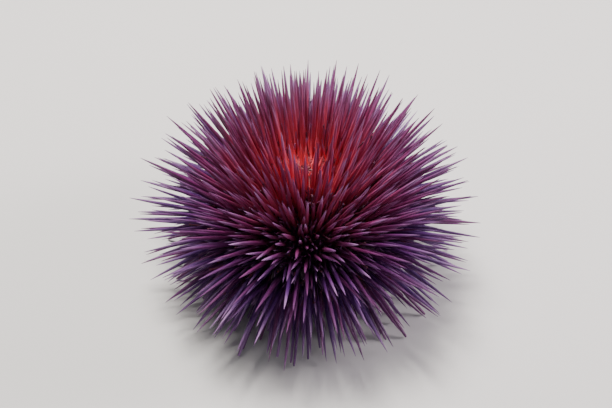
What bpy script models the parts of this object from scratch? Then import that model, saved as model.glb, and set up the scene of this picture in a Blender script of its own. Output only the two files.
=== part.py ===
"""A rock urchin at life size: a low domed test parted into its ten zones, with the spines and tube
feet that each zone carries, the plates at the crown, the soft mouth membrane below and the five teeth.

Lengths are in metres, +Z is up, and the animal stands on z = 0 with its axis on the Z axis."""

import math
import random

import bmesh
import bpy
from mathutils import Matrix, Vector

MM = 0.001

# The test, a flattened dome. Its widest line is the ambitus.
TEST_RADIUS = 27.0 * MM
HEIGHT_ABOVE_AMBITUS = 18.0 * MM
DEPTH_BELOW_AMBITUS = 12.0 * MM
CLEAR_UNDER_TEST = 7.5 * MM
UNDERSIDE_FLATNESS = 0.85
AMBITUS_Z = CLEAR_UNDER_TEST + DEPTH_BELOW_AMBITUS
CROWN_Z = AMBITUS_Z + HEIGHT_ABOVE_AMBITUS
MERIDIAN_STEPS = 240
PROFILE_STEPS = 11

# Five narrow zones with tube feet alternate with five broad ones.
RAYS = 5
AMBULACRUM_HALF_ANGLE = math.radians(15)
INTERAMBULACRUM_HALF_ANGLE = math.radians(21)
AMBULACRUM_FACETS = 3
INTERAMBULACRUM_FACETS = 4
SEAM = 0.3 * MM

# The openings of the test at the crown and the mouth.
CROWN_RADIUS = 6.0 * MM
CROWN_PLATE_DEPTH = 3.0 * MM
PERISTOME_RADIUS = 10.5 * MM
PERISTOME_DEPTH = 3.4 * MM
MOUTH_RADIUS = 3.9 * MM

# The spines, longest at the ambitus, each a slim point of few sides. Those that stand are blunt.
SPINE_SIDES = 3
SPINE_LENGTH = 25.0 * MM
SPINE_RADIUS = 0.92 * MM
SHORTEST_SHARE = 0.78
BLUNT_WIDTH = 0.55
ROOT_SUNK = 1.4 * MM
LENGTH_SPREAD = 0.07
ZIGZAG = 0.12
ACROSS_SPREAD = 0.05
SLOPE_SPREAD = math.radians(4.0)
HEADING_SPREAD = math.radians(5.0)
WIDER_SPREAD = 1.9
LEAST_CLEAR_OF_FLOOR = 0.8 * MM
LOWER_TURN = 1.12
STEEPEST_DROP = math.radians(86)
SEED = 1

# A column of spines, which zigzags along its zone: its place across the zone, from -1 to 1, where it
# starts and ends along the meridian, from 0 at the crown to 1 at the mouth, its count, and its share of
# the full length and radius.
BROAD_COLUMNS = (
    (-0.36, 0.030, 0.965, 12, 1.00, 1.00),
    (0.36, 0.072, 0.985, 12, 1.00, 1.00),
    (0.00, 0.170, 0.900, 10, 0.78, 0.84),
    (-0.76, 0.150, 0.880, 9, 0.90, 0.88),
    (0.76, 0.190, 0.920, 9, 0.90, 0.88),
    (-0.56, 0.095, 0.930, 10, 0.86, 0.84),
    (0.56, 0.060, 0.900, 10, 0.86, 0.84),
)
NARROW_COLUMNS = (
    (-0.36, 0.050, 0.955, 12, 0.97, 0.94),
    (0.36, 0.012, 0.980, 12, 0.97, 0.94),
    (-0.78, 0.220, 0.860, 8, 0.78, 0.82),
    (0.78, 0.260, 0.900, 8, 0.78, 0.82),
    (0.00, 0.070, 0.800, 10, 0.84, 0.82),
)

# Columns of the smaller spines between them, each of which grows in the widest gap near its place. The
# reach of that search is in rows along the meridian and in shares of the half zone across it.
BROAD_FILL = (
    (-0.18, 0.120, 0.930, 12, 0.88, 0.80),
    (0.18, 0.105, 0.920, 12, 0.88, 0.80),
    (-0.66, 0.110, 0.880, 9, 0.84, 0.80),
    (0.66, 0.130, 0.915, 9, 0.84, 0.80),
    (-0.96, 0.105, 0.915, 12, 0.94, 0.86),
    (0.96, 0.100, 0.930, 12, 0.94, 0.86),
)
NARROW_FILL = (
    (-0.58, 0.120, 0.920, 11, 0.84, 0.80),
    (0.58, 0.105, 0.925, 11, 0.84, 0.80),
)
GAP_TRIES = 10
GAP_REACH = 0.6
GAP_REACH_ACROSS = 0.12

# Tube feet that hold the ground, as places across the zone and along the meridian.
TUBE_FEET = ((-0.62, 0.93), (0.62, 0.90), (-0.02, 0.955), (0.05, 0.87))
TUBE_FOOT_RADIUS = 0.42 * MM
TUBE_FOOT_SPLAY = 0.12
TUBE_FOOT_SIDES = 6
ANKLE_HEIGHT = 1.6 * MM
SUCKER_RADIUS = 1.15 * MM
SUCKER_THICKNESS = 0.5 * MM

# The crown: five large plates between the rays, five small ones on them, and a few short spines.
CROWN_FACETS = 20
CROWN_EDGE = 0.4 * MM
VENT_RADIUS = 0.8 * MM
VENT_RISE = 0.25 * MM
LARGE_PLATE_AT = 3.75 * MM
LARGE_PLATE_SIZE = 1.62 * MM
LARGE_PLATE_DEPTH = 1.9 * MM
SMALL_PLATE_AT = 4.45 * MM
SMALL_PLATE_SIZE = 0.85 * MM
SMALL_PLATE_DEPTH = 1.7 * MM
PLATE_SIDES = 5
PLATE_TAPER = 0.86
PLATE_SUNK = 0.5 * MM
PLATE_LEAN = math.radians(7)
CROWN_SPINE_AT = 3.9 * MM
CROWN_SPINE_TURNS = (math.radians(-14), math.radians(11))
CROWN_SPINE_RADIUS = 0.55 * MM
CROWN_SPINE_SPLAY = 1.12
CROWN_SPINE_RISES = (5.5 * MM, 8.0 * MM)

# The mouth: a membrane with a lip, ten short feet and ten gills round it, and the teeth in its middle.
MOUTH_FACETS = 15
MEMBRANE_SAG = 0.3 * MM
LIP_DROP = 1.5 * MM
LIP_OUTER_RADIUS = 5.1 * MM
LIP_INNER_RADIUS = 4.2 * MM
LIP_ROUND = 0.7 * MM
MOUTH_FOOT_AT = 7.2 * MM
MOUTH_FOOT_TURN = math.radians(11)
MOUTH_FOOT_LENGTH = 4.0 * MM
MOUTH_FOOT_RADIUS = 0.5 * MM
MOUTH_FOOT_END_RADIUS = 0.62 * MM
GILL_AT = 9.0 * MM
GILL_REACH = 10.4 * MM
GILL_TURN = AMBULACRUM_HALF_ANGLE + math.radians(4.5)
GILL_LOBE_TURNS = (math.radians(-5), math.radians(5))
GILL_DROP = 2.2 * MM
GILL_RADIUS = 0.55 * MM
GILL_TIP_RADIUS = 0.34 * MM
GILL_SIDES = 4
GILL_SHOULDER = 0.76
JAW_DROP = 1.0 * MM
JAW_BEVEL = 1.0 * MM
TOOTH_ROOT_AT = 1.9 * MM
TOOTH_TIP_AT = 0.35 * MM
TOOTH_DROP = 3.6 * MM
TOOTH_RADIUS = 0.95 * MM
TOOTH_EDGE_RADIUS = 0.5 * MM
TOOTH_SIDES = 4
TOOTH_SHOULDER = 0.72

MERGE_DISTANCE = 0.001 * MM

PURPLE = (0.105, 0.022, 0.075, 1.0)
CRIMSON = (0.26, 0.035, 0.045, 1.0)
MEMBRANE = (0.30, 0.12, 0.10, 1.0)
TOOTH_WHITE = (0.80, 0.74, 0.62, 1.0)


def on_circle(radius, around, height=0.0):
    """The point at this radius, angle round the axis and height."""
    return Vector((radius * math.cos(around), radius * math.sin(around), height))


def test_point(turn, around=0.0, inset=0.0):
    """The point of the test's surface at an angle down from the crown and an angle round the axis."""
    upper = turn <= math.pi / 2
    flatness = 1.0 if upper else UNDERSIDE_FLATNESS
    radius = TEST_RADIUS * max(math.sin(turn), 0.0) ** flatness
    half_height = HEIGHT_ABOVE_AMBITUS if upper else DEPTH_BELOW_AMBITUS
    return on_circle(radius - inset, around, AMBITUS_Z + half_height * math.cos(turn))


def turn_at_radius(radius, upper):
    """The angle down from the crown where the test has this radius."""
    flatness = 1.0 if upper else UNDERSIDE_FLATNESS
    turn = math.asin((radius / TEST_RADIUS) ** (1 / flatness))
    return turn if upper else math.pi - turn


CROWN_TURN = turn_at_radius(CROWN_RADIUS, True)
PERISTOME_TURN = turn_at_radius(PERISTOME_RADIUS, False)
CROWN_EDGE_Z = test_point(CROWN_TURN).z
MOUTH_EDGE_Z = test_point(PERISTOME_TURN).z


def meridian():
    """Angles and arc lengths along the test from the crown's edge to the mouth membrane's edge."""
    turns, lengths = [CROWN_TURN], [0.0]
    for i in range(1, MERIDIAN_STEPS + 1):
        turn = CROWN_TURN + (PERISTOME_TURN - CROWN_TURN) * i / MERIDIAN_STEPS
        lengths.append(lengths[-1] + (test_point(turn) - test_point(turns[-1])).length)
        turns.append(turn)
    return turns, lengths


MERIDIAN_TURNS, MERIDIAN_LENGTHS = meridian()


def turn_along(share):
    """The angle down from the crown at this share of the meridian's length."""
    wanted = share * MERIDIAN_LENGTHS[-1]
    for i in range(1, len(MERIDIAN_LENGTHS)):
        if MERIDIAN_LENGTHS[i] >= wanted:
            before, after = MERIDIAN_LENGTHS[i - 1], MERIDIAN_LENGTHS[i]
            part = (wanted - before) / (after - before)
            return MERIDIAN_TURNS[i - 1] + part * (MERIDIAN_TURNS[i] - MERIDIAN_TURNS[i - 1])
    return MERIDIAN_TURNS[-1]


def seam_shift(half_angle):
    """How far a zone moves out along its middle to stand half a seam clear of both its neighbours."""
    return SEAM / 2 / math.sin(half_angle)


def spine_slope(turn):
    """How far a spine rooted here points above the level, in radians."""
    if turn <= math.pi / 2:
        return math.atan2(math.cos(turn) / HEIGHT_ABOVE_AMBITUS, math.sin(turn) / TEST_RADIUS)
    return -min((turn - math.pi / 2) * LOWER_TURN, STEEPEST_DROP)


def spine_length(turn):
    """The full length of a spine rooted here."""
    return SPINE_LENGTH * (SHORTEST_SHARE + (1 - SHORTEST_SHARE) * math.sin(turn))


def clear_sides(point, half_angle, room):
    """The point, moved across its zone where needed to stay this far inside both side faces."""
    inside = point.x * math.sin(half_angle) - abs(point.y) * math.cos(half_angle)
    if inside < room:
        short = (room - inside) / math.cos(half_angle)
        point.y -= math.copysign(min(short, abs(point.y)), point.y)
    return point


def bmesh_object(name, mesh_maker):
    """A new mesh object, filled by a function that works on its bmesh."""
    built = bmesh.new()
    mesh_maker(built)
    bmesh.ops.recalc_face_normals(built, faces=built.faces)
    mesh = bpy.data.meshes.new(name)
    built.to_mesh(mesh)
    built.free()
    return bpy.data.objects.new(name, mesh)


def spun(built, geometry, angle, steps):
    """Turns the geometry round the Z axis and merges what meets."""
    bmesh.ops.spin(built, geom=geometry, cent=(0, 0, 0), axis=(0, 0, 1), angle=angle, steps=steps)
    bmesh.ops.remove_doubles(built, verts=built.verts, dist=MERGE_DISTANCE)


def turned_wedge(profile, half_angle, facets):
    """Fills a bmesh with a closed (radius, height) profile turned from one side face to the other."""

    def fill(built):
        corners = [built.verts.new(on_circle(radius, -half_angle, z)) for radius, z in profile]
        face = built.faces.new(corners)
        spun(built, [face, *face.edges, *face.verts], 2 * half_angle, facets)

    return fill


def turned_ring(profile, facets):
    """Fills a bmesh with a profile turned all the way round the axis. It is closed, or ends on the axis."""

    def fill(built):
        points = [built.verts.new((radius, 0, z)) for radius, z in profile]
        pairs = list(zip(points, points[1:]))
        if all(radius > 0 for radius, _ in profile):
            pairs.append((points[-1], points[0]))
        edges = [built.edges.new(pair) for pair in pairs]
        spun(built, [*points, *edges], math.tau, facets)

    return fill


def tapered_rod(root, tip, root_radius, tip_radius, sides, shoulder=None, floor_end=False, twist=0.0):
    """Fills a bmesh with a rod from root to tip. A shoulder gives it a point past that share of its length,
    and a floor end cuts it level at the height of its tip."""

    def fill(built):
        along = tip - root
        length = along.length * (shoulder or 1.0)
        made = bmesh.ops.create_cone(
            built,
            cap_ends=True,
            segments=sides,
            radius1=root_radius,
            radius2=tip_radius,
            depth=length,
        )
        place = (
            Matrix.Translation(root)
            @ along.to_track_quat("Z", "Y").to_matrix().to_4x4()
            @ Matrix.Rotation(twist, 4, "Z")
            @ Matrix.Translation((0, 0, length / 2))
        )
        top = [vert for vert in made["verts"] if vert.co.z > 0]
        cap = [face for face in built.faces if all(vert in top for vert in face.verts)]
        bmesh.ops.transform(built, matrix=place, verts=built.verts)
        if shoulder:
            middle = bmesh.ops.poke(built, faces=cap)["verts"][0]
            middle.co = tip
        if floor_end:
            lean = along.normalized()
            for vert in top:
                vert.co += lean * ((tip.z - vert.co.z) / lean.z)
                vert.co.z = tip.z

    return fill


def root_at(across, share, radius_share, half_angle):
    """Where on its zone a spine grows, far enough inside both side faces for its width."""
    surface = test_point(turn_along(share), across * half_angle, seam_shift(half_angle))
    return clear_sides(surface, half_angle, SPINE_RADIUS * radius_share)


def spine(name, place, half_angle, spread, chance):
    """One spine of a zone, cut level where it would reach the ground."""
    across, share, length_share, radius_share = place
    turn = turn_along(share)
    around = across * half_angle
    radius = SPINE_RADIUS * radius_share
    slope = spine_slope(turn) + chance.uniform(-1, 1) * SLOPE_SPREAD * spread
    heading = around + chance.uniform(-1, 1) * HEADING_SPREAD * spread
    length = spine_length(turn) * length_share * (1 + chance.uniform(-1, 1) * LENGTH_SPREAD * spread)
    surface = root_at(across, share, radius_share, half_angle)
    way = on_circle(math.cos(slope), heading, math.sin(slope))
    tip = surface + way * length
    stands = tip.z < LEAST_CLEAR_OF_FLOOR
    if stands:
        tip = surface - way * (surface.z / way.z)
        tip.z = 0.0
    tip = clear_sides(tip, half_angle, radius)
    root = surface - (tip - surface).normalized() * ROOT_SUNK
    maker = tapered_rod(
        root,
        tip,
        radius,
        radius * BLUNT_WIDTH if stands else 0.0,
        SPINE_SIDES,
        floor_end=stands,
        twist=chance.uniform(0, math.pi),
    )
    return bmesh_object(name, maker)


def tube_foot(name, across, share, half_angle):
    """A soft stalk down to a sucker that lies flat on the ground."""
    around = across * half_angle
    surface = test_point(turn_along(share), around, seam_shift(half_angle))
    foot = surface + on_circle(TUBE_FOOT_SPLAY, around, -1.0) * surface.z
    foot = clear_sides(foot, half_angle, SUCKER_RADIUS)
    root = surface + Vector((0, 0, ROOT_SUNK))
    ankle = foot + (root - foot).normalized() * ANKLE_HEIGHT
    sole_top = foot + Vector((0, 0, SUCKER_THICKNESS))
    rings = (
        (root, TUBE_FOOT_RADIUS * 1.25),
        (ankle, TUBE_FOOT_RADIUS),
        (sole_top, SUCKER_RADIUS * 0.92),
        (foot, SUCKER_RADIUS),
    )

    def fill(built):
        loops = [
            [
                built.verts.new(centre + on_circle(radius, math.tau * i / TUBE_FOOT_SIDES))
                for i in range(TUBE_FOOT_SIDES)
            ]
            for centre, radius in rings
        ]
        for upper, lower in zip(loops, loops[1:]):
            for i in range(TUBE_FOOT_SIDES):
                j = (i + 1) % TUBE_FOOT_SIDES
                built.faces.new((upper[i], upper[j], lower[j], lower[i]))
        built.faces.new(loops[0])
        built.faces.new(loops[-1])

    return bmesh_object(name, fill)


def keep_largest_surface(body):
    """Removes every closed surface of the mesh but the one with the most faces."""
    built = bmesh.new()
    built.from_mesh(body.data)
    left = set(built.faces)
    surfaces = []
    while left:
        found, front = set(), [left.pop()]
        while front:
            face = front.pop()
            found.add(face)
            for edge in face.edges:
                for other in edge.link_faces:
                    if other in left:
                        left.discard(other)
                        front.append(other)
        surfaces.append(found)
    surfaces.sort(key=len)
    scraps = [face for surface in surfaces[:-1] for face in surface]
    bmesh.ops.delete(built, geom=scraps, context="FACES")
    built.to_mesh(body.data)
    built.free()


def joined(body, pieces):
    """The body with its pieces fused on by one Boolean union, keeping its largest closed surface."""
    scene = bpy.context.scene.collection
    added = bpy.data.collections.new(body.name + "_pieces")
    scene.children.link(added)
    scene.objects.link(body)
    for piece in pieces:
        added.objects.link(piece)
    union = body.modifiers.new("union", "BOOLEAN")
    union.operation = "UNION"
    union.operand_type = "COLLECTION"
    union.collection = added
    union.solver = "MANIFOLD"
    graph = bpy.context.evaluated_depsgraph_get()
    fused = bpy.data.meshes.new_from_object(body.evaluated_get(graph))
    body.modifiers.remove(union)
    body.data = fused
    for piece in list(added.objects):
        bpy.data.objects.remove(piece)
    bpy.data.collections.remove(added)
    scene.objects.unlink(body)
    keep_largest_surface(body)
    return body


def finish(body, colour, roughness):
    """Gives an object its own plain material."""
    material = bpy.data.materials.new(body.name)
    material.use_nodes = True
    shader = material.node_tree.nodes["Principled BSDF"]
    shader.inputs["Base Color"].default_value = colour
    shader.inputs["Roughness"].default_value = roughness
    shader.inputs["Metallic"].default_value = 0.0
    body.data.materials.clear()
    body.data.materials.append(material)
    return body


def zone_profile(shift):
    """The closed outline of a zone in the plane of the axis: the test's curve and the seats of both discs."""
    curve = [test_point(turn_along(i / PROFILE_STEPS)) for i in range(PROFILE_STEPS + 1)]
    crown_seat = CROWN_EDGE_Z - CROWN_PLATE_DEPTH
    mouth_seat = MOUTH_EDGE_Z + PERISTOME_DEPTH
    return [
        (0.0, crown_seat),
        (CROWN_RADIUS - shift, crown_seat),
        *[(point.x - shift, point.z) for point in curve],
        (PERISTOME_RADIUS - shift, mouth_seat),
        (0.0, mouth_seat),
    ]


def column_places(columns, chance):
    """The places of the columns' spines: across, along the meridian, and shares of length and radius."""
    places = []
    for across, start, end, count, length_share, radius_share in columns:
        for i in range(count):
            zigzag = ZIGZAG if i % 2 else -ZIGZAG
            scattered = across + zigzag + chance.uniform(-1, 1) * ACROSS_SPREAD
            places.append((scattered, start + (end - start) * i / (count - 1), length_share, radius_share))
    return places


def filling_places(columns, taken, half_angle, chance):
    """The places of the spines between, each the try that is farthest from every root before it."""
    roots = [root_at(across, share, radius_share, half_angle) for across, share, _, radius_share in taken]
    places = []
    for across, start, end, count, length_share, radius_share in columns:
        row = (end - start) / (count - 1)
        for i in range(count):
            best_gap = -1.0
            for _ in range(GAP_TRIES):
                share = start + row * (i + chance.uniform(-1, 1) * GAP_REACH)
                tried = across + chance.uniform(-1, 1) * GAP_REACH_ACROSS
                root = root_at(tried, share, radius_share, half_angle)
                gap = min((root - other).length for other in roots)
                if gap > best_gap:
                    best_gap, best_root = gap, root
                    best_place = (tried, share, length_share, radius_share)
            roots.append(best_root)
            places.append(best_place)
    return places


def zone(name, half_angle, facets, columns, fill, feet, centre_angle, seed):
    """One zone of the test with everything that grows from it, set clear of both neighbours."""
    chance = random.Random(seed)
    shift = seam_shift(half_angle)
    body = bmesh_object(name, turned_wedge(zone_profile(shift), half_angle, facets))
    long_places = column_places(columns, chance)
    fill_places = filling_places(fill, long_places, half_angle, chance)
    pieces = [spine(f"spine_{i}", place, half_angle, 1.0, chance) for i, place in enumerate(long_places)]
    pieces += [
        spine(f"fill_{i}", place, half_angle, WIDER_SPREAD, chance)
        for i, place in enumerate(fill_places)
    ]
    pieces += [
        tube_foot(f"foot_{i}", across, share, half_angle)
        for i, (across, share) in enumerate(feet)
    ]
    joined(body, pieces)
    body.location = on_circle(shift, centre_angle)
    body.rotation_euler.z = centre_angle
    return finish(body, PURPLE, 0.5)


def crown_plate(name, around, at_radius, size, depth):
    """A five-sided plate raised a little on the crown."""

    def fill(built):
        bmesh.ops.create_cone(
            built,
            cap_ends=True,
            segments=PLATE_SIDES,
            radius1=size,
            radius2=size * PLATE_TAPER,
            depth=depth,
        )
        height = test_point(turn_at_radius(at_radius, True)).z - PLATE_SUNK
        place = (
            Matrix.Rotation(around, 4, "Z")
            @ Matrix.Translation((at_radius, 0, height))
            @ Matrix.Rotation(PLATE_LEAN, 4, "Y")
        )
        bmesh.ops.transform(built, matrix=place, verts=built.verts)

    return bmesh_object(name, fill)


def crown_spine(name, around, rise):
    """A short spine on a large plate of the crown."""
    root = on_circle(CROWN_SPINE_AT, around, CROWN_Z - ROOT_SUNK)
    tip = on_circle(CROWN_SPINE_AT * CROWN_SPINE_SPLAY, around, CROWN_Z + rise)
    return bmesh_object(name, tapered_rod(root, tip, CROWN_SPINE_RADIUS, 0.0, SPINE_SIDES))


def crown_disc():
    """The plates round the vent at the crown, with the short spines that they carry."""
    radius = CROWN_RADIUS - SEAM
    floor_z = CROWN_EDGE_Z - CROWN_PLATE_DEPTH + SEAM
    profile = [
        (0.0, CROWN_Z + VENT_RISE),
        (VENT_RADIUS, CROWN_Z - VENT_RISE / 2),
        (radius - CROWN_EDGE, CROWN_EDGE_Z),
        (radius, CROWN_EDGE_Z - CROWN_EDGE),
        (radius, floor_z),
        (0.0, floor_z),
    ]
    body = bmesh_object("apical_disc", turned_ring(profile, CROWN_FACETS))
    chance = random.Random(SEED)
    pieces = []
    for ray in range(RAYS):
        on_ray = math.tau * ray / RAYS
        between = math.tau * (ray + 0.5) / RAYS
        pieces.append(
            crown_plate(f"large_plate_{ray}", between, LARGE_PLATE_AT, LARGE_PLATE_SIZE, LARGE_PLATE_DEPTH)
        )
        pieces.append(
            crown_plate(f"small_plate_{ray}", on_ray, SMALL_PLATE_AT, SMALL_PLATE_SIZE, SMALL_PLATE_DEPTH)
        )
        for i, turn in enumerate(CROWN_SPINE_TURNS):
            rise = chance.uniform(*CROWN_SPINE_RISES)
            pieces.append(crown_spine(f"crown_spine_{ray}_{i}", between + turn, rise))
    return finish(joined(body, pieces), CRIMSON, 0.5)


def mouth_foot(name, around):
    """One of the short feet on the mouth membrane."""
    root = on_circle(MOUTH_FOOT_AT, around, MOUTH_EDGE_Z + MEMBRANE_SAG * 3)
    tip = root - Vector((0, 0, MOUTH_FOOT_LENGTH))
    return bmesh_object(
        name, tapered_rod(root, tip, MOUTH_FOOT_RADIUS, MOUTH_FOOT_END_RADIUS, TUBE_FOOT_SIDES)
    )


def gill_lobe(name, around, lobe_turn):
    """One lobe of a gill at the membrane's edge."""
    root = on_circle(GILL_AT, around, MOUTH_EDGE_Z + LIP_ROUND)
    tip = on_circle(GILL_REACH, around + lobe_turn, MOUTH_EDGE_Z - GILL_DROP)
    return bmesh_object(
        name, tapered_rod(root, tip, GILL_RADIUS, GILL_TIP_RADIUS, GILL_SIDES, shoulder=GILL_SHOULDER)
    )


def mouth_membrane():
    """The soft disc round the mouth, with its lip, five pairs of short feet and ten gills."""
    outer = PERISTOME_RADIUS - SEAM
    roof_z = MOUTH_EDGE_Z + PERISTOME_DEPTH - SEAM
    lip_z = MOUTH_EDGE_Z - LIP_DROP
    profile = [
        (outer, roof_z),
        (outer, MOUTH_EDGE_Z + MEMBRANE_SAG),
        (MOUTH_FOOT_AT, MOUTH_EDGE_Z - MEMBRANE_SAG),
        (LIP_OUTER_RADIUS + LIP_ROUND, lip_z + LIP_ROUND),
        (LIP_OUTER_RADIUS, lip_z),
        (LIP_INNER_RADIUS, lip_z),
        (MOUTH_RADIUS, lip_z + LIP_ROUND),
        (MOUTH_RADIUS, roof_z),
    ]
    body = bmesh_object("peristome", turned_ring(profile, MOUTH_FACETS))
    pieces = []
    for ray in range(RAYS):
        on_ray = math.tau * ray / RAYS
        for side in (-1, 1):
            pieces.append(mouth_foot(f"mouth_foot_{ray}_{side}", on_ray + side * MOUTH_FOOT_TURN))
            for i, lobe_turn in enumerate(GILL_LOBE_TURNS):
                pieces.append(gill_lobe(f"gill_{ray}_{side}_{i}", on_ray + side * GILL_TURN, lobe_turn))
    return finish(joined(body, pieces), MEMBRANE, 0.55)


def tooth(name, around):
    """One tooth, a narrow blade that leans in to meet the others."""
    root = on_circle(TOOTH_ROOT_AT, around, MOUTH_EDGE_Z)
    tip = on_circle(TOOTH_TIP_AT, around, MOUTH_EDGE_Z - TOOTH_DROP)
    return bmesh_object(
        name,
        tapered_rod(
            root, tip, TOOTH_RADIUS, TOOTH_EDGE_RADIUS, TOOTH_SIDES, shoulder=TOOTH_SHOULDER, twist=around
        ),
    )


def mouth_teeth():
    """The tip of the jaws, filling the mouth, with five teeth that close to a point."""
    radius = MOUTH_RADIUS - SEAM
    roof_z = MOUTH_EDGE_Z + PERISTOME_DEPTH - SEAM
    jaw_z = MOUTH_EDGE_Z - JAW_DROP
    profile = [
        (0.0, roof_z),
        (radius, roof_z),
        (radius, jaw_z + JAW_BEVEL),
        (radius - JAW_BEVEL, jaw_z),
        (0.0, jaw_z),
    ]
    body = bmesh_object("mouth_teeth", turned_ring(profile, MOUTH_FACETS))
    pieces = [tooth(f"tooth_{ray}", math.tau * (ray + 0.5) / RAYS) for ray in range(RAYS)]
    return finish(joined(body, pieces), TOOTH_WHITE, 0.35)


def ambulacrum(ray):
    """One narrow zone, with its rows of spines and its tube feet."""
    return zone(
        f"ambulacrum_{ray + 1}",
        AMBULACRUM_HALF_ANGLE,
        AMBULACRUM_FACETS,
        NARROW_COLUMNS,
        NARROW_FILL,
        TUBE_FEET,
        math.tau * ray / RAYS,
        SEED + ray,
    )


def interambulacrum(ray):
    """One broad zone, with its rows of spines."""
    return zone(
        f"interambulacrum_{ray + 1}",
        INTERAMBULACRUM_HALF_ANGLE,
        INTERAMBULACRUM_FACETS,
        BROAD_COLUMNS,
        BROAD_FILL,
        (),
        math.tau * (ray + 0.5) / RAYS,
        SEED + RAYS + ray,
    )


def build():
    """Clears the scene and makes the urchin's thirteen named pieces."""
    for old in list(bpy.data.objects):
        bpy.data.objects.remove(old)
    urchin = bpy.data.collections.new("rock_urchin")
    bpy.context.scene.collection.children.link(urchin)
    pieces = [crown_disc(), mouth_membrane(), mouth_teeth()]
    for ray in range(RAYS):
        pieces += [ambulacrum(ray), interambulacrum(ray)]
    for piece in pieces:
        urchin.objects.link(piece)


build()
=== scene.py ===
"""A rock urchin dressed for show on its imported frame: one living skin over the test, the spines, from
the long ones to the small ones and those of the crown, the tube feet, the small pincers, and the mouth
with its feet, gills, teeth and jaws.

Lengths are in metres, +Z is up, and the animal stands on z = 0 with its axis on the Z axis."""

import math
import random

import bmesh
import bpy
import numpy as np
from mathutils import Matrix, Vector
from mathutils.kdtree import KDTree


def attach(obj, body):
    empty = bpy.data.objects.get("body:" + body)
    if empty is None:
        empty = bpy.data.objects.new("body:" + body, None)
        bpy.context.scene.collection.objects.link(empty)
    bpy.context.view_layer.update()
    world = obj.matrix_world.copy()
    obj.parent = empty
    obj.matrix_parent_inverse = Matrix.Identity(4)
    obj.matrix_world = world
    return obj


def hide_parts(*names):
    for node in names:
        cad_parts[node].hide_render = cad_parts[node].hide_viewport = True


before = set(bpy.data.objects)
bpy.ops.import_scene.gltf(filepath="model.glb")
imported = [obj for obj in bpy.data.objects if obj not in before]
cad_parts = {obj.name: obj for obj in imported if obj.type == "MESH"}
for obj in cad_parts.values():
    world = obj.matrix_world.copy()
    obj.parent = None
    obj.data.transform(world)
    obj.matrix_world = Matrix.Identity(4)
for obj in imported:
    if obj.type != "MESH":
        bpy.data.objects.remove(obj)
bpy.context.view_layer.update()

MM = 0.001
RAYS = 5
SEED = 7
SOLID_SEED = 1

# The test, with the sizes of its solids.
TEST_RADIUS = 27.0 * MM
HEIGHT_ABOVE_AMBITUS = 18.0 * MM
DEPTH_BELOW_AMBITUS = 12.0 * MM
CLEAR_UNDER_TEST = 7.5 * MM
UNDERSIDE_FLATNESS = 0.85
AMBITUS_Z = CLEAR_UNDER_TEST + DEPTH_BELOW_AMBITUS
AMBULACRUM_HALF_ANGLE = math.radians(15)
INTERAMBULACRUM_HALF_ANGLE = math.radians(21)
CROWN_RADIUS = 6.0 * MM
PERISTOME_RADIUS = 10.5 * MM
MERIDIAN_STEPS = 240
CROWN_STEPS = 30

# The skin's course from the test over the mouth membrane and its lip to the roof of the mouth, as
# (radius, rise over the membrane's edge) in millimetres.
MEMBRANE_COURSE = (
    (10.0, 0.25), (8.6, 0.05), (7.0, -0.35), (5.8, -0.95), (5.15, -1.45),
    (4.65, -1.6), (4.15, -1.4), (3.9, -0.8), (3.9, 1.2), (0.0, 1.6),
)

# The skin's mesh. The crown and the mouth each take a share of its rows for a length of skin, and the
# rest of the rows lie evenly between them.
SKIN_ROWS = 240
SKIN_COLUMNS = 330
CROWN_ROWS = (0.24, 8.0 * MM)
MOUTH_ROWS = (0.26, 16.0 * MM)

# The skin's relief: bosses under the spines, lobes, grain, the crown's plates and the membrane's
# wrinkles. A pair of radii is where a form fades in or out.
BOSS_HEIGHT = 0.55 * MM
BOSS_WIDTH = 1.15 * MM
SMALL_BOSS_HEIGHT = 0.30 * MM
SMALL_BOSS_WIDTH = 0.75 * MM
SMALL_BOSS_PALENESS = 0.8
LOBE_HEIGHT = 0.25 * MM
GRAIN_HEIGHT = 0.05 * MM
PLATE_RISE = 0.32 * MM
PLATES_FADE = (5.9 * MM, 7.0 * MM)
GROOVE_WIDTH = 0.16 * MM
PORE_AT = 4.75 * MM
PORE_WIDTH = 0.26 * MM
PORE_DEPTH = 0.30 * MM
WRINKLE_HEIGHT = 0.08 * MM
WRINKLES = 50
WRINKLES_RISE = (4.2 * MM, 5.5 * MM)
WRINKLES_FADE = (9.0 * MM, 10.4 * MM)

# The grain's waves: an axis and its waves, how much they waver, and the axis and waves of that.
GRAIN_WAVES = ((0, 5200, 3, 1, 2100), (1, 4900, 3, 2, 2300), (2, 5400, 2, 0, 1900))

# The crown's plates: how many, how far out, how large, and where the first one is, as a share of the
# space between two. Large ones lie between the rays, small ones on them, and scales round the vent.
PLATES = (
    (RAYS, 3.75 * MM, 1.75 * MM, 0.5),
    (RAYS, 5.00 * MM, 0.95 * MM, 0.0),
    (8, 1.25 * MM, 0.55 * MM, 0.3),
)
VENT_SIZE = 0.55 * MM

# The spines. Lengths, widths and fine ribs are those of a full spine at the ambitus.
SPINE_LENGTH = 25.0 * MM
SPINE_RADIUS = 0.68 * MM
RIBS = 18
SHORTEST_SHARE = 0.78
LOWER_TURN = 1.12
STEEPEST_DROP = math.radians(86)

# The scatter of the long spines, as on the solid ones, and the wider one of the rest, the room that a
# spine leaves to the sides of its zone and to the floor, and how a gap for the next one is sought.
SEAM = 0.3 * MM
ZIGZAG = 0.12
ACROSS_SPREAD = 0.05
SLOPE_SPREAD = math.radians(4.0)
HEADING_SPREAD = math.radians(5.0)
LENGTH_SPREAD = 0.07
WIDTH_SPREAD = 0.08
WIDER_SPREAD = 1.9
SIDE_ROOM = 0.92 * MM
LEAST_CLEAR_OF_FLOOR = 0.8 * MM
TIP_CLEAR = 0.05 * MM
STANDING_END_WIDTH = 0.5
GAP_TRIES = 10
GAP_REACH = 0.6
GAP_REACH_ACROSS = 0.12

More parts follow.
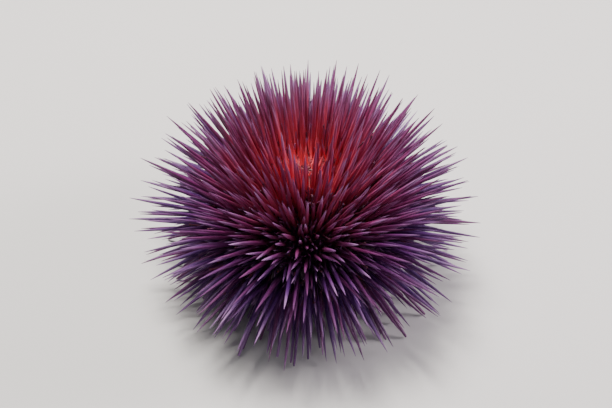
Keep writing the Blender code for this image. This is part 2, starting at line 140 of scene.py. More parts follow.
# A column of spines: its place across the zone, from -1 to 1, where it starts and ends along the
# meridian, its count, its share of the full length and its share of the full width.
BROAD_LONG = (
    (-0.36, 0.030, 0.965, 12, 1.00, 1.00),
    (0.36, 0.072, 0.985, 12, 1.00, 1.00),
    (0.00, 0.170, 0.900, 10, 0.78, 0.84),
    (-0.76, 0.150, 0.880, 9, 0.90, 0.88),
    (0.76, 0.190, 0.920, 9, 0.90, 0.88),
    (-0.56, 0.095, 0.930, 10, 0.86, 0.84),
    (0.56, 0.060, 0.900, 10, 0.86, 0.84),
)
NARROW_LONG = (
    (-0.36, 0.050, 0.955, 12, 0.97, 0.94),
    (0.36, 0.012, 0.980, 12, 0.97, 0.94),
    (-0.78, 0.220, 0.860, 8, 0.78, 0.82),
    (0.78, 0.260, 0.900, 8, 0.78, 0.82),
    (0.00, 0.070, 0.800, 10, 0.84, 0.82),
)
BROAD_MIDDLE = (
    (-0.18, 0.120, 0.930, 12, 0.88, 0.80),
    (0.18, 0.105, 0.920, 12, 0.88, 0.80),
    (-0.66, 0.110, 0.880, 9, 0.84, 0.80),
    (0.66, 0.130, 0.915, 9, 0.84, 0.80),
    (-0.96, 0.105, 0.915, 12, 0.94, 0.86),
    (0.96, 0.100, 0.930, 12, 0.94, 0.86),
)
NARROW_MIDDLE = ((-0.58, 0.120, 0.920, 11, 0.84, 0.80), (0.58, 0.105, 0.925, 11, 0.84, 0.80))
BROAD_SHORT = (
    (-0.28, 0.070, 0.960, 14, 0.60, 0.62),
    (0.28, 0.100, 0.940, 14, 0.56, 0.60),
    (-0.64, 0.050, 0.950, 14, 0.62, 0.62),
    (0.64, 0.085, 0.970, 14, 0.58, 0.60),
    (-0.92, 0.080, 0.960, 14, 0.54, 0.58),
    (0.92, 0.110, 0.940, 14, 0.56, 0.58),
)
NARROW_SHORT = (
    (-0.16, 0.150, 0.930, 8, 0.86, 0.80),
    (0.16, 0.120, 0.900, 8, 0.86, 0.80),
    (-0.18, 0.080, 0.940, 14, 0.56, 0.58),
    (0.18, 0.110, 0.960, 14, 0.56, 0.58),
    (-0.92, 0.070, 0.950, 12, 0.54, 0.56),
    (0.92, 0.100, 0.930, 12, 0.52, 0.56),
)

# What is scattered over the test: how many, how far apart, and the lengths and widths in millimetres.
SMALL_SPINES = (2600, 1.05 * MM, (3.5, 8.5), (0.22, 0.33))
PINCERS = (260, 3.0 * MM, (4.0, 7.5), (0.26, 0.36))
SCATTER_SPAN = (0.01, 0.985)
SCATTER_LEAN = 0.2
CLEAR_OF_SPINES = 0.85 * MM
TRIES_EACH = 24

# The crown's spines: where they are round from a ray, as a share of the way to the next, how many,
# and how far out, how long and how wide, in millimetres.
CROWN_SPINES = (
    (0.5, 5, (2.9, 4.7), (5.0, 8.5), 0.40),
    (0.0, 3, (4.6, 5.6), (4.5, 7.0), 0.36),
    (0.5, 3, (2.4, 3.2), (2.4, 4.0), 0.24),
    (0.0, 3, (1.7, 3.0), (1.4, 2.4), 0.18),
)
CROWN_SPREAD = 0.9
CROWN_SCATTER = 0.08
CROWN_LEAN = 75.0
CROWN_HEADING_SPREAD = 0.15

# The forms of what grows straight, as (share of the length, share of the width) from root to tip.
LONG_FORM = (
    (0.000, 1.70), (0.036, 1.04), (0.056, 1.36), (0.074, 1.02),
    (0.320, 0.97), (0.620, 0.78), (0.850, 0.46), (1.000, 0.07),
)
SHORT_FORM = (
    (0.000, 1.70), (0.045, 1.15), (0.070, 1.32), (0.100, 1.00),
    (0.450, 0.90), (0.780, 0.60), (1.000, 0.08),
)
STANDING_FORM = (
    (0.00, 1.70), (0.05, 1.06), (0.08, 1.30), (0.12, 1.00),
    (0.50, 0.88), (0.90, 0.66), (0.97, 0.60), (1.00, 0.40),
)
SMALL_FORM = ((0.00, 1.45), (0.10, 1.00), (0.50, 0.95), (0.85, 0.78), (1.00, 0.30))

# A pincer: its stalk, and its small jaws in shares of the stalk's width and length.
STALK_FORM = ((0.00, 0.60), (0.60, 0.42), (0.68, 0.90), (0.76, 0.80))
PINCER_JAW_FORM = ((0.00, 0.55), (0.45, 0.62), (1.00, 0.12))
PINCER_JAW_SIDES = 4
PINCER_JAWS = 3
PINCER_JAW_AT = (0.42, 0.75)
PINCER_JAW_LENGTH = 0.25

# Tube feet, and the forms of soft stems as (share of the way, share of the width). A standing foot
# repeats a solid one: its place across the zone and along the meridian. Its sucker's form is in shares
# of the sucker's thickness over the ground and of its radius.
STANDING_FEET = ((-0.62, 0.93), (0.62, 0.90), (-0.02, 0.955), (0.05, 0.87))
STANDING_FOOT_FORM = ((0.0, 1.35), (0.15, 1.15), (0.35, 1.0), (0.6, 0.95), (0.85, 0.95), (1.0, 1.0))
STANDING_FOOT_RADIUS = 0.40 * MM
FOOT_SPLAY = 0.12
ANKLE_HEIGHT = 1.6 * MM
SUCKER_FORM = ((1.3, 0.55), (0.8, 0.92), (0.2, 1.0), (0.0, 0.94))
SUCKER_RADIUS = 1.15 * MM
SUCKER_THICKNESS = 0.5 * MM
FOOT_COLUMNS = (-0.86, -0.60, 0.60, 0.86)
FOOT_ROWS = (0.10, 0.82, 9)
FOOT_ROW_SPREAD = 0.3
FREE_FOOT_FORM = (
    (0.0, 1.4), (0.18, 1.06), (0.44, 0.95), (0.72, 0.90),
    (0.93, 1.02), (0.965, 1.50), (0.99, 1.30), (1.0, 0.70),
)
FREE_FOOT_RADIUS = 0.22 * MM
FREE_FOOT_LENGTHS = (5.0, 11.0)
FREE_FOOT_CLEAR = 1.5 * MM
FREE_FOOT_SLOPE_SPREAD = 0.15
FREE_FOOT_HEADING_SPREAD = 0.12
FREE_FOOT_BEND = 0.55
FREE_FOOT_DRIFT = 0.22

# The mouth's short feet and branched gills. Drops are below the membrane's edge.
MOUTH_FOOT_FORM = (
    (0.0, 1.45), (0.12, 1.15), (0.28, 0.95), (0.44, 0.85), (0.60, 0.78),
    (0.76, 0.75), (0.88, 0.85), (0.95, 1.10), (0.975, 1.30), (1.0, 1.05),
)
MOUTH_FOOT_RADIUS = 0.55 * MM
MOUTH_FOOT_TURN = math.radians(11)
MOUTH_FOOT_AT = 7.2 * MM
MOUTH_FOOT_END_AT = 7.6 * MM
MOUTH_FOOT_DROP = 3.1 * MM
MOUTH_FOOT_BEND = 0.5 * MM
MOUTH_FOOT_BEND_SPREAD = 0.5
GILL_TRUNK_FORM = ((0.0, 1.3), (0.25, 1.2), (0.5, 1.1), (0.75, 0.9), (1.0, 0.6))
GILL_BRANCH_FORM = ((0.0, 0.75), (0.35, 0.7), (0.7, 0.62), (1.0, 0.3))
GILL_RADIUS = 0.26 * MM
GILL_TINT = 0.5
GILL_TURN = math.radians(19.5)
GILL_AT = 9.0 * MM
GILL_SUNK = 0.3 * MM
GILL_BEND = 0.8 * MM
GILL_END_AT = 10.4 * MM
GILL_END_DROP = 1.65 * MM
GILL_LOWEST_DROP = 2.64 * MM
GILL_BRANCHES = 10
GILL_BRANCH_WAY = (0.5, -0.7)
GILL_BRANCH_LENGTHS = (0.9, 1.6)
GILL_BRANCH_BEND = 0.2 * MM

# A tooth: out from the axis, rise over the mouth's edge and width, in millimetres, down its course,
# and its keeled section as shares of the width, across it and outward.
TOOTH_COURSE = (
    (2.45, 1.30, 1.45), (2.35, 0.00, 1.40), (2.05, -1.20, 1.30),
    (1.50, -2.35, 1.15), (0.85, -3.20, 0.90), (0.45, -3.60, 0.50),
)
TOOTH_SECTION = (
    (0.50, 0.08), (0.34, 0.24), (-0.34, 0.24), (-0.50, 0.08),
    (-0.20, -0.06), (-0.10, -0.44), (0.10, -0.44), (0.20, -0.06),
)

# A jaw: rise over the mouth's edge, inner and outer radius in millimetres and half its angle, and the
# places of its outer corners as shares of that. Teeth and jaws are rounded in so many steps.
JAW_COURSE = (
    (2.40, 0.7, 3.55, 33),
    (1.20, 0.8, 3.55, 33),
    (0.10, 0.9, 3.40, 33),
    (-0.80, 1.1, 2.95, 31),
    (-1.30, 1.5, 2.45, 26),
)
JAW_CORNERS = (-1.0, -0.6, -0.2, 0.2, 0.6, 1.0)
ROUNDING = 2

# What a growing tree is told, and the patch of the skin's flat map that each spine or foot takes. The
# map has this reach from its middle to its rim, and is measured in so many steps.
SIZES = {"Sides": "NodeSocketInt", "Patch": "NodeSocketFloat"}
PATCH = 0.003
UNWRAP_REACH = 0.47
UNWRAP_STEPS = 2000

# Colours, and where those of the crown and the membrane fade. The spines' red towards the crown,
# partly their own colour and partly a painted glow of light from above, falls from the crown's
# middle outwards, in shares of the test's radius.
RED_AND_GLOW_AT_MIDDLE = 1.50
RED_AND_GLOW_FALL = 1.55
# Painted light: these bright reds stand in partly for a glow of light from above through the spines' bases.
DEEP_CRIMSON_AND_GLOW = (0.29, 0.016, 0.034)
CRIMSON_AND_GLOW = (0.98, 0.130, 0.180)
# The crown spines' red is partly a painted highlight where the light from above catches the crown.
CROWN_CRIMSON_AND_HIGHLIGHT = (0.92, 0.130, 0.145)
# Painted light: the crown's skin red is partly its own colour and partly a painted glow of light from above.
CROWN_RED_AND_GLOW = (0.29, 0.012, 0.026)
CROWN_DARK = (0.12, 0.006, 0.014)
CROWN_GLOW = (3.0 * MM, 17.0 * MM)
SKIN_DARK = (0.012, 0.004, 0.014)
SKIN_PURPLE = (0.050, 0.012, 0.042)
BOSS_MAUVE = (0.11, 0.030, 0.085)
GROOVE_DARK = (0.030, 0.004, 0.008)
MEMBRANE_DARK = (0.060, 0.016, 0.026)
MEMBRANE_PALE = (0.17, 0.065, 0.060)
MEMBRANE_EDGE = (9.6 * MM, 10.4 * MM)
MEMBRANE_TOP = (9.0 * MM, 12.0 * MM)

# The studio: the floor, the sky, each lamp's place, size, power and colour, and the camera.
FLOOR_REACH = 3.0
FLOOR_DROP = 0.2 * MM
FLOOR_COLOUR = (0.62, 0.60, 0.58)
FLOOR_ROUGHNESS = 0.8
SKY_COLOUR = (0.80, 0.84, 0.90)
SKY_STRENGTH = 0.18
LAMPS = {
    "key": ((-0.10, 0.22, 0.60), 0.22, 10.5, (1.0, 0.97, 0.94)),
    "fill": ((0.50, -0.50, 0.35), 0.50, 1.1, (0.92, 0.94, 1.0)),
    "side": ((0.50, 0.10, 0.22), 0.20, 3.2, (1.0, 0.92, 1.0)),
}
LIT_HEIGHT = 20.0 * MM
SEEN_HEIGHT = 24.0 * MM
CAMERA_ELEVATION = math.radians(45)
CAMERA_DISTANCE = 0.425
CAMERA_LENS = 85.0
CAMERA_CLIP = 0.01


def worked_by(operation):
    """A method that works out one operation with a Math node."""
    return lambda self, *others: self.math(operation, *others)


class Term:
    """A number that a node gives. Sums written with it add Math nodes."""

    def __init__(self, graph, socket):
        self.graph = graph
        self.socket = socket

    def math(self, operation, *others):
        """What a Math node makes of this number and the others."""
        return self.graph.term("ShaderNodeMath", {"operation": operation}, dict(enumerate((self, *others))))

    __add__ = __radd__ = worked_by("ADD")
    __mul__ = __rmul__ = worked_by("MULTIPLY")
    __sub__ = worked_by("SUBTRACT")
    __truediv__ = worked_by("DIVIDE")
    __pow__ = worked_by("POWER")
    __abs__ = worked_by("ABSOLUTE")

    def __rsub__(self, other):
        return self.graph.term("ShaderNodeMath", {"operation": "SUBTRACT"}, {0: other, 1: self})

    def between(self, low, high):
        """0 up to low, 1 from high, and a smooth rise between them."""
        return self.graph.term(
            "ShaderNodeMapRange",
            {"interpolation_type": "SMOOTHSTEP"},
            {"Value": self, "From Min": low, "From Max": high},
        )


class Graph:
    """A node tree that is written as calls."""

    def __init__(self, tree):
        self.tree = tree

    def node(self, kind, settings=None, sockets=None):
        """Adds a node, sets it up, and then gives its sockets their values or links."""
        made = self.tree.nodes.new(kind)
        for name, value in (settings or {}).items():
            if name == "points":
                self.set_points(made.mapping, value)
            else:
                setattr(made, name, value)
        for name, value in (sockets or {}).items():
            self.put(made.inputs[name] if isinstance(name, int) else live(made.inputs, name), value)
        return made

    def term(self, kind, settings=None, sockets=None, output=None):
        """The number that a new node gives."""
        return Term(self, live(self.node(kind, settings, sockets).outputs, output))

    def put(self, socket, value):
        """Links a socket to a node, a socket or a Term, or gives it a plain value."""
        if isinstance(value, Term):
            value = value.socket
        if isinstance(value, bpy.types.Node):
            value = live(value.outputs)
        if isinstance(value, bpy.types.NodeSocket):
            self.tree.links.new(value, socket)
        else:
            socket.default_value = value

    def set_points(self, mapping, points):
        """Draws a curve of straight runs through these points."""
        mapping.use_clip = False
        curve = mapping.curves[0]
        while len(curve.points) < len(points):
            curve.points.new(0.5, 0.5)
        for point, place in zip(curve.points, points):
            point.location = place
            point.handle_type = "VECTOR"
        mapping.update()

    def mix(self, factor, first, second):
        """One colour that passes into another."""
        sockets = {"Factor": factor, "A": colour_of(first), "B": colour_of(second)}
        return self.node("ShaderNodeMix", {"data_type": "RGBA"}, sockets)


def live(sockets, name=None):
    """The first socket in use, of this name if one is given."""
    return next(socket for socket in sockets if socket.enabled and name in (None, socket.name))


def colour_of(value):
    """A plain colour with its alpha, or the socket itself."""
    return (*value, 1.0) if isinstance(value, tuple) else value


def on_circle(radius, around, height=0.0):
    """The point at this radius, angle round the axis and height."""
    return Vector((radius * math.cos(around), radius * math.sin(around), height))


def pointing(slope, heading):
    """The way that rises at this slope and heads out at this angle round the axis."""
    return on_circle(math.cos(slope), heading, math.sin(slope))


def test_point(turn, around=0.0, inset=0.0):
    """The test's surface at an angle down from the crown and one round the axis, moved in by an inset."""
    upper = turn <= math.pi / 2
    flatness = 1.0 if upper else UNDERSIDE_FLATNESS
    radius = TEST_RADIUS * max(math.sin(turn), 0.0) ** flatness
    half_height = HEIGHT_ABOVE_AMBITUS if upper else DEPTH_BELOW_AMBITUS
    return on_circle(radius - inset, around, AMBITUS_Z + half_height * math.cos(turn))


def turn_at_radius(radius, upper):
    """The angle down from the crown where the test has this radius."""
    flatness = 1.0 if upper else UNDERSIDE_FLATNESS
    turn = math.asin((radius / TEST_RADIUS) ** (1 / flatness))
    return turn if upper else math.pi - turn


def lengths_along(points):
    """How far along a line of points each of them is."""
    steps = np.linalg.norm(np.diff(np.array(points), axis=0), axis=1)
    return np.concatenate(([0.0], np.cumsum(steps)))


CROWN_TURN = turn_at_radius(CROWN_RADIUS, True)
PERISTOME_TURN = turn_at_radius(PERISTOME_RADIUS, False)
MOUTH_EDGE_Z = test_point(PERISTOME_TURN).z
MERIDIAN_TURNS = np.linspace(CROWN_TURN, PERISTOME_TURN, MERIDIAN_STEPS + 1)
MERIDIAN = [test_point(turn) for turn in MERIDIAN_TURNS]
MERIDIAN_LENGTHS = lengths_along(MERIDIAN)


def skin_outline():
    """Points (radius, height) down the whole skin, from the crown's middle to the roof of the mouth."""
    crown = [test_point(turn) for turn in np.linspace(0.0, CROWN_TURN, CROWN_STEPS)[:-1]]
    outline = [(point.x, point.z) for point in crown + MERIDIAN]
    return np.array(outline + [(out * MM, MOUTH_EDGE_Z + rise * MM) for out, rise in MEMBRANE_COURSE])


OUTLINE = skin_outline()
OUTLINE_LENGTHS = lengths_along(OUTLINE)


def outline_at(lengths):
    """Radius and height of the skin's outline at these lengths down it."""
    return [np.interp(lengths, OUTLINE_LENGTHS, measure) for measure in OUTLINE.T]


UNWRAP_LENGTHS = np.linspace(0.0, OUTLINE_LENGTHS[-1], UNWRAP_STEPS)
UNWRAP_RADII, UNWRAP_HEIGHTS = outline_at(UNWRAP_LENGTHS)


def unwrapped(length, around):
    """The skin's own flat map: the crown in the middle and the mouth along the rim."""
    out = UNWRAP_REACH * length / OUTLINE_LENGTHS[-1]
    return 0.5 + out * math.cos(around), 0.5 + out * math.sin(around)


def spot_of(place):
    """Where a place on the skin lies on its flat map."""
    out = math.hypot(place.x, place.y)
    nearest = np.argmin((UNWRAP_RADII - out) ** 2 + (UNWRAP_HEIGHTS - place.z) ** 2)
    return (*unwrapped(UNWRAP_LENGTHS[nearest], math.atan2(place.y, place.x)), 0.0)


def turn_along(share):
    """The angle down from the crown at this share of the meridian's length."""
    return float(np.interp(share * MERIDIAN_LENGTHS[-1], MERIDIAN_LENGTHS, MERIDIAN_TURNS))


def spine_slope(turn):
    """How far a spine rooted here points above the level, in radians."""
    if turn <= math.pi / 2:
        return math.atan2(math.cos(turn) / HEIGHT_ABOVE_AMBITUS, math.sin(turn) / TEST_RADIUS)
    return -min((turn - math.pi / 2) * LOWER_TURN, STEEPEST_DROP)


def spine_length(turn):
    """The full length of a spine rooted here."""
    return SPINE_LENGTH * (SHORTEST_SHARE + (1 - SHORTEST_SHARE) * math.sin(turn))


def red_and_painted_glow_at(place):
    """How red the animal is here, partly its own red and partly a painted glow of light from above:
    1 at the crown and 0 from the ambitus down.
    """
    if place.z < AMBITUS_Z:
        return 0.0
    down = math.hypot(place.x, place.y) / TEST_RADIUS
    return max(0.0, min(1.0, RED_AND_GLOW_AT_MIDDLE - RED_AND_GLOW_FALL * down))


class Roots:
    """Places where something grows, each with the way it points, its width and length, and its tint."""

    def __init__(self):
        self.places = []
        self.values = {"way": [], "size": [], "tint": [], "warmth": []}

    def add(self, place, way, length, width, tint):
        """Adds one root. A length that would pass through the floor is cut to end just above it."""
        if way.z < 0:
            length = min(length, (place.z - TIP_CLEAR) / -way.z)
        self.places.append(place)
        self.values["way"].append(way)
        self.values["size"].append((width, width, length))
        self.values["tint"].append(tint)
        self.values["warmth"].append(red_and_painted_glow_at(place))

    def mesh(self, name):
        """The places as loose points that carry all the rest."""
        return carrier_mesh(name, self.places, [], self.places, self.values)


class Stems:
    """Chains of points for soft stems, each point with its thickness and its place along the stem."""

    def __init__(self):
        self.points = []
        self.links = []
        self.roots = []
        self.values = {"girth": [], "along": [], "tint": []}

    def add(self, course, tint):
        """Adds one stem, given as (point, thickness) from its root to its end."""
        first = len(self.points)
        points, girths = zip(*course)
        lengths = lengths_along(points)
        self.points += points
        self.links += [(i, i + 1) for i in range(first, len(self.points) - 1)]
        self.roots += [points[0]] * len(points)
        self.values["girth"] += girths
        self.values["along"] += list(lengths / lengths[-1])
        self.values["tint"] += [tint] * len(points)

    def mesh(self, name):
        """The chains as loose edges that carry all the rest."""
        return carrier_mesh(name, self.points, self.links, self.roots, self.values)


def carrier_mesh(name, points, links, roots, values):
    """Loose points and edges that carry values, and where each one's root is on the skin's flat map."""
    mesh = new_mesh(name, points, links, [])
    for label, column in values.items():
        write_attribute(mesh, label, column)
    write_attribute(mesh, "spot", [spot_of(root) for root in roots])
    return mesh


def new_mesh(name, points, links, faces):
    """A mesh of these points, edges and faces."""
    mesh = bpy.data.meshes.new(name)
    mesh.from_pydata(points, links, faces)
    return mesh


def write_attribute(mesh, name, values):
    """Stores one number or vector for each vertex of a mesh."""
    values = np.array(values, np.float32)
    kind, field = ("FLOAT", "value") if values.ndim == 1 else ("FLOAT_VECTOR", "vector")
    mesh.attributes.new(name, kind, "POINT").data.foreach_set(field, values.ravel())


def places_of(groups):
    """The places of all the roots in these groups."""
    return [place for roots in groups for place in roots.places]


def clear_sides(point, half_angle, room):
    """The point, moved across its zone where needed to stay this far inside both side faces."""
    inside = point.x * math.sin(half_angle) - abs(point.y) * math.cos(half_angle)
    if inside < room:
        short = (room - inside) / math.cos(half_angle)
        point.y -= math.copysign(min(short, abs(point.y)), point.y)
    return point


def seam_shift(half_angle):
    """How far a zone's solid stands out along its middle to be clear of both its neighbours."""
    return SEAM / 2 / math.sin(half_angle)


def root_at(across, share, width_share, half_angle):
    """Where on its zone a solid spine grows, far enough inside both side faces for its width."""
    surface = test_point(turn_along(share), across * half_angle, seam_shift(half_angle))
    return clear_sides(surface, half_angle, SIDE_ROOM * width_share)


def column_places(columns, chance):
    """The places of a zone's long spines: across, along, and their shares of length and width."""
    places = []
    for across, start, end, count, length_share, width_share in columns:
        for i in range(count):
            zigzag = ZIGZAG if i % 2 else -ZIGZAG
            scattered = across + zigzag + chance.uniform(-1, 1) * ACROSS_SPREAD
            places.append((scattered, start + (end - start) * i / (count - 1), length_share, width_share))
    return places


def filling_places(columns, taken, half_angle, chance):
    """The places of the spines between, each the try that is farthest from every root before it."""
    roots = [root_at(across, share, width_share, half_angle) for across, share, _, width_share in taken]
    places = []
    for across, start, end, count, length_share, width_share in columns:
        row = (end - start) / (count - 1)
        for i in range(count):
            tries = []
            for _ in range(GAP_TRIES):
                share = start + row * (i + chance.uniform(-1, 1) * GAP_REACH)
                tried = across + chance.uniform(-1, 1) * GAP_REACH_ACROSS
                root = root_at(tried, share, width_share, half_angle)
                gap = min((root - other).length for other in roots)
                tries.append((gap, root, (tried, share, length_share, width_share)))
            _, root, place = max(tries, key=lambda found: found[0])
            roots.append(root)
            places.append(place)
    return places


def scattered_spine(turn, heading, length_share, spread, chance):
    """The way and the length of a spine that strays a little from straight out and from its full size."""
    slope = spine_slope(turn) + chance.uniform(-1, 1) * SLOPE_SPREAD * spread
    heading += chance.uniform(-1, 1) * HEADING_SPREAD * spread
    length = spine_length(turn) * length_share * (1 + chance.uniform(-1, 1) * LENGTH_SPREAD * spread)
    return pointing(slope, heading), length


def grow_solid(free, standing, place, centre, half_angle, spread, chance, tint):
    """Sets one spine where the solid one is, free or down to the ground."""
    across, share, length_share, width_share = place
    way, length = scattered_spine(turn_along(share), across * half_angle, length_share, spread, chance)
    # The solid spine draws its twist here.
    chance.random()
    surface = root_at(across, share, width_share, half_angle)
    tip = surface + way * length
    stands = tip.z < LEAST_CLEAR_OF_FLOOR
    if stands:
        tip = surface - way * (surface.z / way.z)
    course = clear_sides(tip, half_angle, SIDE_ROOM * width_share) - surface
    turned = Matrix.Rotation(centre, 3, "Z")
    root = turned @ (surface + Vector((seam_shift(half_angle), 0, 0)))
    way = (turned @ course).normalized()
    length = course.length
    width = SPINE_RADIUS * width_share
    if stands:
        length -= width * STANDING_END_WIDTH * math.hypot(way.x, way.y) / -way.z
    (standing if stands else free).add(root, way, length, width, tint)


def zones(broad, narrow):
    """Each zone's columns, the angle of its middle, half its angle and its number."""
    for ray in range(RAYS):
        yield narrow, math.tau * ray / RAYS, AMBULACRUM_HALF_ANGLE, ray
        yield broad, math.tau * (ray + 0.5) / RAYS, INTERAMBULACRUM_HALF_ANGLE, ray + RAYS


def solid_roots():
    """The roots of the long, middle and standing spines, all in the places of the solid ones."""
    long_roots, middle_roots, standing = Roots(), Roots(), Roots()
    for tables, centre, half_angle, number in zones((BROAD_LONG, BROAD_MIDDLE), (NARROW_LONG, NARROW_MIDDLE)):
        columns, fill = tables
        chance = random.Random(SOLID_SEED + number)
        shades = random.Random(SEED + number)
        long_places = column_places(columns, chance)
        middle_places = filling_places(fill, long_places, half_angle, chance)
        grown = ((long_roots, long_places, 1.0), (middle_roots, middle_places, WIDER_SPREAD))
        for roots, places, spread in grown:
            for place in places:
                grow_solid(roots, standing, place, centre, half_angle, spread, chance, shades.random())
    return long_roots, middle_roots, standing


def widest_gap(column, i, centre, half_angle, taken, chance):
    """Of some spots near one place of a column, the one that is farthest from all the places taken."""
    across, start, end, count = column
    spots = []
    for _ in range(GAP_TRIES):
        row = i + chance.uniform(-GAP_REACH, GAP_REACH)
        spread = chance.uniform(-1, 1) * GAP_REACH_ACROSS
        turn = turn_along(start + (end - start) * row / (count - 1))
        spots.append((turn, centre + (across + spread) * half_angle))
    places = np.array([test_point(*spot) for spot in spots])
    apart = np.linalg.norm(places[:, None] - taken, axis=2)
    return spots[int(np.argmax(np.min(apart, axis=1)))]


def short_spine_roots(larger):
    """The roots of the short spines, each in the widest gap near its place between the larger ones."""
    chance = random.Random(SEED + 1)
    roots = Roots()
    taken = np.array(places_of(larger))
    for columns, centre, half_angle, _ in zones(BROAD_SHORT, NARROW_SHORT):
        for *column, length_share, width_share in columns:
            for i in range(column[-1]):
                turn, around = widest_gap(column, i, centre, half_angle, taken, chance)
                place = test_point(turn, around)
                taken = np.vstack((taken, place))
                way, length = scattered_spine(turn, around, length_share, WIDER_SPREAD, chance)
                width = SPINE_RADIUS * width_share * chance.uniform(1 - WIDTH_SPREAD, 1 + WIDTH_SPREAD)
                roots.add(place, way, length, width, chance.random())
    return roots


def crown_roots():
    """The roots of the short spines on the crown's plates and round the vent."""
    chance = random.Random(SEED + 2)
    roots = Roots()
    for share, count, radii, lengths, width in CROWN_SPINES:
        for ray in range(RAYS):
            middle = math.tau * (ray + share) / RAYS
            for i in range(count):
                spread = (i - (count - 1) / 2) / count * CROWN_SPREAD
                around = middle + spread + chance.uniform(-CROWN_SCATTER, CROWN_SCATTER)
                at_radius = chance.uniform(*radii) * MM
                lean = at_radius * CROWN_LEAN + chance.gauss(0, CROWN_SCATTER)
                way = pointing(math.pi / 2 - lean, around + chance.gauss(0, CROWN_HEADING_SPREAD))
                place = test_point(turn_at_radius(at_radius, True), around)
                roots.add(place, way, chance.uniform(*lengths) * MM, width * MM, chance.random())
    return roots


def leaning(turn, around, slope_spread, heading_spread, chance):
    """A way that leans a little at random from straight out of the test."""
    slope = spine_slope(turn) + chance.gauss(0, slope_spread)
    return pointing(slope, around + chance.gauss(0, heading_spread))


def is_near(spot, others, distance):
    """Whether a spot is closer than this to any of the others."""
    return np.any(np.sum((others - spot) ** 2, axis=1) < distance**2)


def scattered_roots(count, spacing, lengths, widths, larger, chance):
    """Roots spread evenly over the test, clear of the larger spines and of each other."""
    roots = Roots()
    taken = np.array(places_of(larger))
    free = np.empty((0, 3))
    for _ in range(count * TRIES_EACH):
        if len(free) == count:
            break
        turn = turn_along(chance.uniform(*SCATTER_SPAN))
        place = test_point(turn, chance.uniform(0, math.tau))
        if chance.random() > math.hypot(place.x, place.y) / TEST_RADIUS:
            continue
        spot = np.array(place)
        if is_near(spot, taken, CLEAR_OF_SPINES) or is_near(spot, free, spacing):
            continue
        free = np.vstack((free, spot))
        way = leaning(turn, math.atan2(place.y, place.x), SCATTER_LEAN, SCATTER_LEAN, chance)
        length = chance.uniform(*lengths) * MM
        roots.add(place, way, length, chance.uniform(*widths) * MM, chance.random())
    return roots


def stray(chance):
    """A short vector in any direction."""
    return Vector([chance.uniform(-1, 1) for _ in range(3)])


def bent(start, middle, end, form, radius):
    """A smooth bend from start to end, drawn towards the middle point, as (point, thickness)."""
    course = []
    for share, girth in form:
        point = start * (1 - share) ** 2 + middle * (2 * share * (1 - share)) + end * share**2
        course.append((point, radius * girth))
    return course


def tube_feet():
    """The soft feet between the spines and, as chains of their own, those that stand on the ground."""
    chance = random.Random(SEED + 4)
    free, standing = Stems(), Stems()
    start, end, count = FOOT_ROWS
    for ray in range(RAYS):
        centre = math.tau * ray / RAYS
        for across in FOOT_COLUMNS:
            for i in range(count):
                row = i + chance.uniform(-FOOT_ROW_SPREAD, FOOT_ROW_SPREAD)
                turn = turn_along(start + (end - start) * row / (count - 1))
                course = free_foot(turn, centre + across * AMBULACRUM_HALF_ANGLE, chance)
                free.add(course, chance.random())
        for across, share in STANDING_FEET:
            course = standing_foot(turn_along(share), across * AMBULACRUM_HALF_ANGLE, centre)
            standing.add(course, chance.random())
    return free, standing


def free_foot(turn, around, chance):
    """One foot that waves among the spines, with a small sucker at its end."""
    root = test_point(turn, around)
    way = leaning(turn, around, FREE_FOOT_SLOPE_SPREAD, FREE_FOOT_HEADING_SPREAD, chance)
    length = chance.uniform(*FREE_FOOT_LENGTHS) * MM
    if way.z < 0:
        length = min(length, (root.z - FREE_FOOT_CLEAR) / -way.z)
    drift = stray(chance) * length * FREE_FOOT_DRIFT
    drift.z = abs(drift.z)
    middle = root + way * length * FREE_FOOT_BEND
    return bent(root, middle, root + way * length + drift, FREE_FOOT_FORM, FREE_FOOT_RADIUS)


def standing_foot(turn, around, centre):
    """One foot that reaches down to a flat sucker on the ground, where the solid one is."""
    shift = seam_shift(AMBULACRUM_HALF_ANGLE)
    root = test_point(turn, around, shift)
    sole = root + on_circle(FOOT_SPLAY, around, -1.0) * root.z
    sole = clear_sides(sole, AMBULACRUM_HALF_ANGLE, SUCKER_RADIUS)
    root.x += shift
    sole.x += shift
    ankle = sole + Vector((0, 0, ANKLE_HEIGHT))
    middle = Vector((ankle.x, ankle.y, (root.z + ankle.z) / 2))
    course = bent(root, middle, ankle, STANDING_FOOT_FORM, STANDING_FOOT_RADIUS)
    for rise, width in SUCKER_FORM:
        course.append((sole + Vector((0, 0, SUCKER_THICKNESS * rise)), SUCKER_RADIUS * width))
    turned = Matrix.Rotation(centre, 3, "Z")
    return [(turned @ point, girth) for point, girth in course]


def beside_rays(turn):
    """The angles round the axis of ten places, two beside each ray."""
    return [math.tau * ray / RAYS + side * turn for ray in range(RAYS) for side in (-1, 1)]


def mouth_feet():
    """The ten short feet on the mouth membrane."""
    chance = random.Random(SEED + 5)
    stems = Stems()
    for around in beside_rays(MOUTH_FOOT_TURN):
        root = on_circle(MOUTH_FOOT_AT, around, MOUTH_EDGE_Z)
        end = on_circle(MOUTH_FOOT_END_AT, around, MOUTH_EDGE_Z - MOUTH_FOOT_DROP)
        bend = chance.uniform(0, MOUTH_FOOT_BEND)
        middle = (root + end) / 2 + on_circle(bend, around + chance.gauss(0, MOUTH_FOOT_BEND_SPREAD))
        stems.add(bent(root, middle, end, MOUTH_FOOT_FORM, MOUTH_FOOT_RADIUS), chance.random())
    return stems


